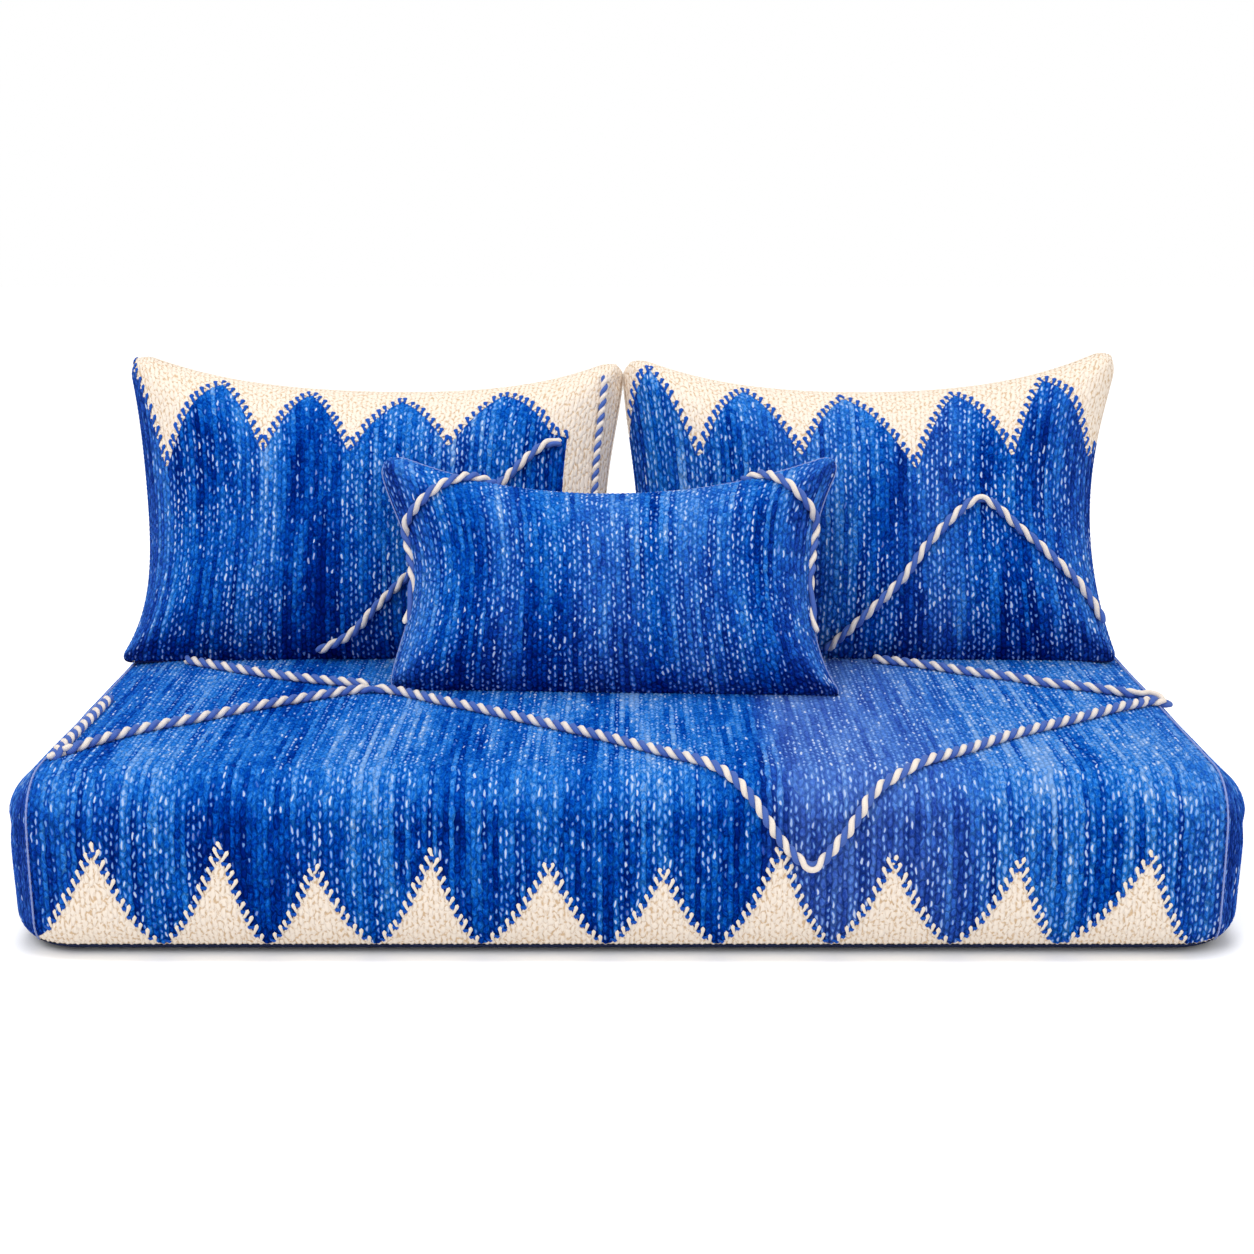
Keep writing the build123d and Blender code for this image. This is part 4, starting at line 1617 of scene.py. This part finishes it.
    def cloth_share(self, a: Array, b: Array) -> Array:
        """Outline shares of the front as cloth shares, the other way round."""
        (run_a, share_a), (run_b, share_b) = self.tables[Cover.FRONT]
        u = np.interp(a, share_a, run_a) / run_a[-1]
        v = np.interp(b, share_b, run_b) / run_b[-1]
        return np.stack([u, v], -1)

    @property
    def zip_share(self) -> float:
        """Where up the outline the zip lies, from -1 to 1."""
        return -math.sqrt(1 - self.zip_level ** (1 / CROWN_POWER))

    def zip_near(self, a: Array, b: Array) -> Array:
        """1 at the zip, falling to 0 away from it."""
        off_x = np.maximum(np.abs(a) * self.width / 2 - self.zip_opening / 2 - 20 * MM, 0)
        off_y = np.maximum(np.abs(b - self.zip_share) * self.height / 2 - 12 * MM, 0)
        return 1 - smooth_step(np.hypot(off_x, off_y), 2 * MM, 45 * MM)

    def rear(self, a: Array, b: Array) -> Array:
        """The back's points, with the plain form at the zip eased into the rounder one around it."""
        near = self.zip_near(a, b)[..., None]
        plain = self.half(a, b, Cover.REAR, self.plain_sharpness)
        return plain * near + self.half(a, b, Cover.REAR) * (1 - near)

    def front_cover(self, finishes: Finishes) -> tuple[Panel, Optional[Outline]]:
        """Makes the front cover and its stitches.

        Args:
            finishes: The shared finishes.

        Returns:
            The cover's panel, and the outline of its cream, where it has one.
        """
        rest = self.seat_height + self.resting
        kilim = KilimFinish(
            f"{self.key}_kilim", self.columns, self.bands, float(self.seed), bool(self.corners)
        ).material()
        front = Panel(
            lambda u, v: self.half(*self.shares_of(u, v, Cover.FRONT), Cover.FRONT), self.columns, self.rows,
            Swelling(7 * MM), seed=self.seed, uneven=1.6 * MM, rest_height=rest, row_pitch=self.row_pitch,
        )
        outline = None
        if self.corners:
            edge = None
            if self.cream_from is not None:
                edge = float(self.cloth_share(np.array(self.cream_from), np.array(0.0))[0])
            outline = Outline(
                tuple(map(tuple, self.cloth_share(*np.array(self.corners).T))), self.first_is_sharp, 0.38,
                front, cream_above=True, cream_from=edge, grown=self.cream_grown,
            )
            last = min(edge or 1.0, self.last_hook)
            long_hooks = HookStitch().mesh(outline, True, last)
            short_hooks = HookStitch(length=7.0, width=1.5, head=1.9, under=0.4, phase=1.0)
            short_hooks = short_hooks.mesh(outline, False, last)
            stitches = f"{self.key}_hook_stitches"
            place(long_hooks, stitches, [finishes["blue_yarn"]], self.body, "kilim")
            place(short_hooks, f"{stitches}_cream", [finishes["cream_yarn"]], self.body, "kilim")
        hidden = [f"{self.key}_cover_front", f"{self.key}_insert"]
        mesh = front.mesh(outline.side if outline else None)
        place(mesh, f"{self.key}_front_cloth", [kilim], self.body, "kilim", hidden, self.fill)
        return front, outline

    def back_cover(self, finish: Material) -> None:
        """Makes the back's two panels, above and below the zip.

        Args:
            finish: Their material.
        """
        (run_a, share_a), (run_b, share_b) = self.tables[Cover.REAR]
        zip_run = float(np.interp(self.zip_share, share_b, run_b))
        whole = run_b[-1]
        rest = self.seat_height + self.resting

        def rear_edge(u: Array) -> Array:
            """Half the slot's width along the zip's line."""
            reach = self.width / 2 - self.drawn_side * (1 - self.zip_share**2)
            x = np.interp(u * run_a[-1], run_a, share_a) * reach
            half = self.zip_opening / 2 + self.zip_margin
            return self.zip_slot / 2 * (1 - smooth_step(np.abs(x), half, half + 6 * MM))

        def upper_form(u: Array, v: Array) -> Array:
            """The back panel above the zip."""
            start = zip_run + rear_edge(u)
            return self.rear(*self.shares_of(u, (start + v * (whole - start)) / whole, Cover.REAR))

        def lower_form(u: Array, v: Array) -> Array:
            """The back strip below the zip."""
            end = zip_run - rear_edge(u)
            return self.rear(*self.shares_of(u, v * end / whole, Cover.REAR))

        def upper_stiff(u: Array, v: Array) -> Array:
            """Holds the cloth near the zip."""
            return self.zip_near(*self.shares_of(u, (zip_run + v * (whole - zip_run)) / whole, Cover.REAR))

        upper = Panel(
            upper_form, self.columns, round((whole - zip_run) / ROW_PITCH), Swelling(6 * MM), upper_stiff,
            seed=self.seed + 5, uneven=1.2 * MM, rest_height=rest, steps_up=2,
        )
        lower_rows = max(round(zip_run / ROW_PITCH), 2)
        lower = Panel(lower_form, self.columns, lower_rows, uneven=0.0, rest_height=rest, steps_up=2)
        for panel, name in ((upper, "upper"), (lower, "lower")):
            place(
                panel.mesh(), f"{self.key}_back_cloth_{name}", [finish], self.body, "back_cloth",
                [f"{self.key}_cover_back_{name}"], self.fill,
            )

    def seam(self, front: Panel, outline: Optional[Outline], finishes: Finishes) -> None:
        """Makes the sewn edge: cream where the cloth beside it is cream, and near-black navy along the foot
        as a painted contact shadow.

        Args:
            front: The front cover.
            outline: The outline of its cream, where it has one.
            finishes: The shared finishes.
        """
        edge = np.linspace(0, 1, 300)
        zero, one = np.zeros_like(edge), np.ones_like(edge)
        profile = SeamRoll(0.95 * MM)
        rolls = []
        for border in ((zero, edge), (one, edge), (edge, one), (edge, zero)):
            roll = profile.mesh(*front.at(np.stack(border, 1)))
            if outline:
                side = outline.side(border[0][None], border[1][None])[0]
                rings = np.repeat(np.linspace(0, 1, len(roll.faces) // profile.sides), profile.sides)
                roll.finish_numbers = (np.interp(rings, edge, side) > 0).astype(int)
            rolls.append(roll)
        # painted shadow: the foot's seam takes the near-black finish, standing in for the contact shadow on
        # the seat
        rolls[-1].finish_numbers = np.full(len(rolls[-1].faces), 2)
        plain = "edge_blue" if outline else "seam_yarn"
        edges = [finishes[name] for name in (plain, "edge_cream", "edge_painted_shadow")]
        place(Mesh.joined(rolls), f"{self.key}_seam_roll", edges, self.body, "kilim")

    def build(self, finishes: Finishes) -> None:
        """Makes the cushion's covers, stitches, cords and zip.

        Args:
            finishes: The shared finishes.
        """
        front, outline = self.front_cover(finishes)
        self.back_cover(finishes["back_kilim"])
        self.seam(front, outline, finishes)
        thick = TwistedCord(turn_length=30 * MM)
        thin = TwistedCord(ply_radius=2.8 * MM, lay_radius=1.9 * MM, turn_length=17.5 * MM)
        plies = [finishes["blue_ply"], finishes["cream_ply"]]
        for name, shares in self.cords.items():
            cord = thin if name == "cord_band" else thick
            route = cord.smooth_route(shares)
            mesh = cord.mesh(route, *front.at(self.cloth_share(route[:, 0], route[:, 1])))
            title = f"{self.key}_{name}"
            place(mesh, f"{title}_plies", plies, self.body, "twisted_cord", [title])
        step = 0.0005
        low, middle, high = self.half(
            np.zeros(3), self.zip_share + np.array([-step, 0.0, step]), Cover.REAR, self.plain_sharpness
        )
        opening = self.zip_opening
        ZipLine(self.key, self.body, middle, -self.x, unit(high - low), opening).build(finishes["coil"])


LEFT_BANDS = (
    Band(0.0, 0.44, 0.50, 0.10), Band(0.06, 0.42, 0.25, 0.20), Band(0.10, 0.46, 0.0, 0.50),
    Band(0.16, 0.36, 0.0, 0.25), Band(0.22, 0.40, 0.0, 0.35), Band(0.29, 0.58, 0.05, 0.75),
    Band(0.33, 0.32, 0.0, 0.25), Band(0.40, 0.16, 0.0, 0.12), Band(0.46, 0.38, 0.0, 0.42),
    Band(0.52, 0.42, 0.0, 0.45), Band(0.58, 0.40, 0.0, 0.50), Band(0.65, 0.50, 0.10, 0.60),
    Band(0.73, 0.48, 0.0, 0.55), Band(0.80, 0.30, 0.0, 0.35), Band(0.87, 0.34, 0.0, 0.35),
    Band(1.0, 0.36, 0.0, 0.30),
)
RIGHT_BANDS = (
    Band(0.0, 0.50, 0.30, 0.30), Band(0.07, 0.52, 0.0, 0.55), Band(0.15, 0.58, 0.10, 0.80),
    Band(0.22, 0.38, 0.0, 0.30), Band(0.30, 0.48, 0.10, 0.50), Band(0.38, 0.44, 0.20, 0.42),
    Band(0.45, 0.58, 0.10, 0.65), Band(0.52, 0.38, 0.0, 0.42), Band(0.58, 0.33, 0.10, 0.35),
    Band(0.64, 0.40, 0.25, 0.48), Band(0.72, 0.35, 0.0, 0.42), Band(0.80, 0.30, 0.0, 0.30),
    Band(0.88, 0.40, 0.10, 0.42), Band(0.95, 0.38, 0.30, 0.30), Band(1.0, 0.42, 0.60, 0.15),
)
LUMBAR_BANDS = (
    Band(0.0, 0.58, 0.40, 0.35), Band(0.05, 0.52, 0.25, 0.35), Band(0.12, 0.38, 0.0, 0.30),
    Band(0.20, 0.34, 0.0, 0.28), Band(0.27, 0.48, 0.15, 0.60), Band(0.33, 0.28, 0.0, 0.20),
    Band(0.39, 0.36, 0.0, 0.38), Band(0.46, 0.41, 0.20, 0.50), Band(0.54, 0.37, 0.20, 0.52),
    Band(0.60, 0.34, 0.0, 0.38), Band(0.68, 0.46, 0.20, 0.60), Band(0.76, 0.40, 0.10, 0.48),
    Band(0.84, 0.33, 0.0, 0.38), Band(0.92, 0.38, 0.20, 0.28), Band(1.0, 0.52, 0.40, 0.20),
)
BACK_BANDS = (
    Band(0.0, 0.40, 0.30, 0.05), Band(0.2, 0.28, 0.05, 0.10), Band(0.35, 0.46, 0.10, 0.25),
    Band(0.5, 0.26, 0.0, 0.08), Band(0.65, 0.42, 0.25, 0.20), Band(0.82, 0.30, 0.0, 0.12),
    Band(1.0, 0.42, 0.35, 0.08),
)


def cushions() -> list[UprightCushion]:
    """The three upright cushions."""
    back = {
        "width": 600 * MM, "height": 382 * MM, "front_depth": 75 * MM, "rear_depth": 72 * MM,
        "drawn_top": 45 * MM, "drawn_side": 26 * MM, "lean": 25.0, "seam_y": 120 * MM, "top_shift": 0.0,
        "zip_opening": 300 * MM,
    }
    left = UprightCushion(
        "back_left", "back_cushion_left", yaw=2.0, seam_x=-302 * MM, bands=LEFT_BANDS, seed=11,
        left_edge=(-9.5, 3.8, -5.2, -10.6, -14.0), right_edge=(-0.7, 0.0, 4.0, 11.0, 5.0),
        top_edge=(15.3, 1.5, 0.6, -6.0, 2.2),
        corners=(
            (-1.0, 1.06), (-0.905, 0.256), (-0.632, 0.925), (-0.478, 0.36), (-0.272, 0.925), (-0.107, 0.376),
            (0.107, 0.875), (0.32, 0.407), (0.528, 0.86), (0.76, 0.46), (0.90, 0.40),
        ),
        first_is_sharp=False, cream_from=0.83,
        cords={
            "cord_diagonal": (
                (-0.235, -0.958), (-0.149, -0.918), (-0.074, -0.853), (0.008, -0.719), (0.089, -0.611),
                (0.240, -0.40), (0.390, -0.18), (0.537, 0.034), (0.621, 0.196), (0.673, 0.285),
                (0.740, 0.385), (0.795, 0.370),
            ),
            "cord_band": (
                (0.926, 0.84), (0.934, 0.62), (0.942, 0.36), (0.950, 0.07), (0.955, -0.25),
                (0.957, -0.58), (0.958, -0.88),
            ),
        },
        **back,
    )
    right = UprightCushion(
        "back_right", "back_cushion_right", yaw=-2.0, seam_x=297 * MM, bands=RIGHT_BANDS, seed=23,
        left_edge=(1.2, -5.0, -13.0, -18.7, -8.3), right_edge=(-6.6, -11.0, -9.0, -1.5, 10.3),
        top_edge=(7.2, -3.7, 0.0, 1.3, 22.3),
        corners=(
            (-1.0, 0.50), (-0.900, 0.92), (-0.755, 0.300), (-0.532, 0.90), (-0.322, 0.329), (-0.122, 0.905),
            (0.172, 0.225), (0.333, 0.915), (0.593, 0.320), (0.695, 0.92), (0.965, 0.336), (1.0, 0.42),
        ),
        first_is_sharp=True,
        cords={
            "cord_chevron": (
                (-0.195, -0.958), (-0.054, -0.783), (0.062, -0.615), (0.135, -0.497), (0.205, -0.347),
                (0.276, -0.236), (0.344, -0.134), (0.442, -0.022), (0.520, -0.093), (0.599, -0.206),
                (0.682, -0.297), (0.764, -0.406), (0.854, -0.518), (0.920, -0.646), (0.962, -0.780),
            ),
        },
        **back,
    )
    lumbar = UprightCushion(
        "lumbar", "lumbar_cushion", width=508 * MM, height=280 * MM, front_depth=64 * MM,
        rear_depth=62 * MM, drawn_top=40 * MM, drawn_side=22 * MM, lean=28.0, yaw=-3.0, seam_x=-12 * MM,
        seam_y=-32 * MM, top_shift=-12 * MM, zip_opening=250 * MM, bands=LUMBAR_BANDS, seed=37,
        left_edge=(-3.7, -5.0, -2.0, -16.0, -20.5), right_edge=(2.2, -9.5, -6.5, 0.0, 19.8),
        top_edge=(10.9, -3.4, -2.7, 0.0, 15.0), row_pitch=8.2 * MM, tip_radius=26 * MM, foot_radius=12 * MM,
        cords={
            "cord_left": (
                (-0.53, 0.999, 4.6), (-0.58, 0.993, 3.4), (-0.635, 0.95, 0.5), (-0.70, 0.855),
                (-0.775, 0.735), (-0.845, 0.615), (-0.910, 0.50), (-0.960, 0.41, 0.8), (-0.992, 0.32, 3.8),
                (-0.998, 0.10, 4.6), (-0.998, -0.25, 4.4), (-0.998, -0.45, 4.6),
            ),
            "cord_right": (
                (0.59, 0.999, 4.6), (0.64, 0.993, 3.4), (0.69, 0.950, 0.5), (0.75, 0.865), (0.815, 0.765),
                (0.875, 0.665), (0.930, 0.57), (0.972, 0.49, 1.2), (0.996, 0.41, 4.0), (0.998, 0.15, 4.6),
                (0.998, -0.20, 4.4), (0.998, -0.48, 4.6),
            ),
        },
    )
    return [left, right, lumbar]


# Studio

@dataclass(frozen=True)
class Lamp:
    """A soft square lamp."""

    name: str
    place: tuple[float, float, float]
    size: float
    power: float


@dataclass(frozen=True)
class Studio:
    """A plain pale floor, soft light and the camera."""

    sensor: float = 36.0
    lens: float = 2000 / 1254 * 36
    camera_place: tuple[float, float, float] = (0.0, -2.217, 0.796)
    pitch: float = 13.69
    sky: float = 0.80
    seen_sky: float = 1.0
    floor_half: float = 9.0
    floor_drop: float = 0.5 * MM
    floor_glow: float = 0.40
    glow_box: Share = (0.612, 0.352)
    lamp_target: tuple[float, float, float] = (0.0, 0.0, 0.2)
    lamps: tuple[Lamp, ...] = (
        Lamp("key_lamp", (-1.6, -2.2, 3.2), 2.0, 50.0),
        Lamp("fill_lamp", (2.4, -2.0, 1.8), 2.5, 16.0),
        Lamp("top_lamp", (0.0, 0.1, 2.6), 2.5, 14.0),
    )

    def build(self) -> None:
        """Makes the floor, the world, the lamps and the camera."""
        scene = bpy.context.scene
        scene.view_settings.view_transform = "Standard"
        square = np.array([(-1.0, -1, 0), (1, -1, 0), (1, 1, 0), (-1, 1, 0)]) * self.floor_half
        mesh = Mesh(square - np.array([0, 0, self.floor_drop]), np.array([[0, 1, 2, 3]]))
        mesh.piece("studio_floor", [self.floor_material()])
        scene.world = bpy.data.worlds.new("studio")
        board = Board(scene.world)
        lit, seen = (
            board.node("Background", {}, {"Color": (1, 1, 1, 1), "Strength": strength}).outputs[0]
            for strength in (self.sky, self.seen_sky)
        )
        mix = board.node("MixShader", {}, {0: board.camera_ray(), 1: lit, 2: seen})
        board.node("OutputWorld", {}, {0: mix.outputs[0]})
        for lamp in self.lamps:
            light = bpy.data.lights.new(lamp.name, "AREA")
            light.size = lamp.size
            light.energy = lamp.power
            made = bpy.data.objects.new(lamp.name, light)
            made.location = lamp.place
            way = Vector(self.lamp_target) - Vector(lamp.place)
            made.rotation_euler = way.to_track_quat("-Z", "Y").to_euler()
            scene.collection.objects.link(made)
        data = bpy.data.cameras.new("camera")
        data.sensor_width = self.sensor
        data.lens = self.lens
        camera = bpy.data.objects.new("camera", data)
        camera.location = self.camera_place
        camera.rotation_euler = (math.radians(90 - self.pitch), 0.0, 0.0)
        scene.collection.objects.link(camera)
        scene.camera = camera

    def floor_material(self) -> Material:
        """A plain white floor that glows, as seen directly, away from a rounded box about the seat."""
        board = Board.of_material("studio_white")
        x, y, _ = board.split("XYZ", board.object_place())
        far = ((x / self.glow_box[0]) ** 16.0 + (y / self.glow_box[1]) ** 16.0) ** 0.0625
        glow = far.rise(1.0, 1.05) * Signal(board, board.camera_ray())
        seen = board.mixed(glow, (0.0, 0.0, 0.0), (self.floor_glow,) * 3)
        more = {"Emission Color": seen, "Emission Strength": 1.0, "Specular IOR Level": 0.0}
        return board.shader(FLOOR_WHITE, 0.9, more)


def make_finishes() -> Finishes:
    """The finishes that several pieces share."""
    finishes = (
        KilimFinish("seat_kilim", 220, SEAT_BANDS, 3.0, True),
        KilimFinish("side_kilim", 148, SIDE_BANDS, 5.0),
        KilimFinish("back_kilim", 118, BACK_BANDS, 8.0),
        YarnFinish("cream_yarn", CREAM_LIGHT, (0.78, 0.64, 0.47)),
        YarnFinish("blue_yarn", MID_BLUE, ROYAL_BLUE),
        YarnFinish("seam_yarn", SEAM_PALE, MID_BLUE),
        YarnFinish("edge_blue", MID_BLUE, DEEP_BLUE),
        YarnFinish("edge_cream", CREAM_LIGHT, CREAM),
        # painted shadow: near-black edge yarn for the cushions' foot seams
        YarnFinish("edge_painted_shadow", PAINTED_SHADOW_NAVY, DEEP_BLUE),
        YarnFinish("blue_ply", CORD_BLUE, CORD_BLUE_SHADE),
        YarnFinish("cream_ply", CORD_CREAM, CORD_SHADE),
        PlainFinish("canvas", (0.010, 0.018, 0.055), (0.02, 0.03, 0.09), 1.6 * MM, 0.9, 0.4 * MM),
        PlainFinish("tape", (0.006, 0.012, 0.08), (0.012, 0.02, 0.12), 0.9 * MM, 0.85, 0.2 * MM),
        PlainFinish("coil", (0.006, 0.012, 0.09), (0.01, 0.02, 0.13), 2 * MM, 0.45, 0.0, woven=False),
        PlainFinish(
            "metal", (0.03, 0.045, 0.13), (0.02, 0.03, 0.10), 3 * MM, 0.35, 0.05 * MM, 0.6, woven=False
        ),
    )
    return {finish.name: finish.material() for finish in finishes}


def dress_nodes(finishes: Finishes) -> None:
    """Gives the zips' tapes, stops, sliders and pulls their finishes.

    Args:
        finishes: The shared finishes.
    """
    for name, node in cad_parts.items():
        if node.hide_render:
            continue
        kind = "tape" if "tape" in name else "coil" if "stops" in name else "metal"
        node.data.materials.clear()
        node.data.materials.append(finishes[kind])


def main() -> None:
    """Builds the studio, the seat and the cushions, and dresses the remaining model parts; pieces log their
    face counts and cords their lengths.
    """
    logging.basicConfig(level=logging.INFO, format="%(name)s: %(message)s")
    Studio().build()
    finishes = make_finishes()
    SeatBlock().build(finishes)
    for cushion in cushions():
        cushion.build(finishes)
    dress_nodes(finishes)
    bpy.context.view_layer.update()


if __name__ == "__main__":
    main()
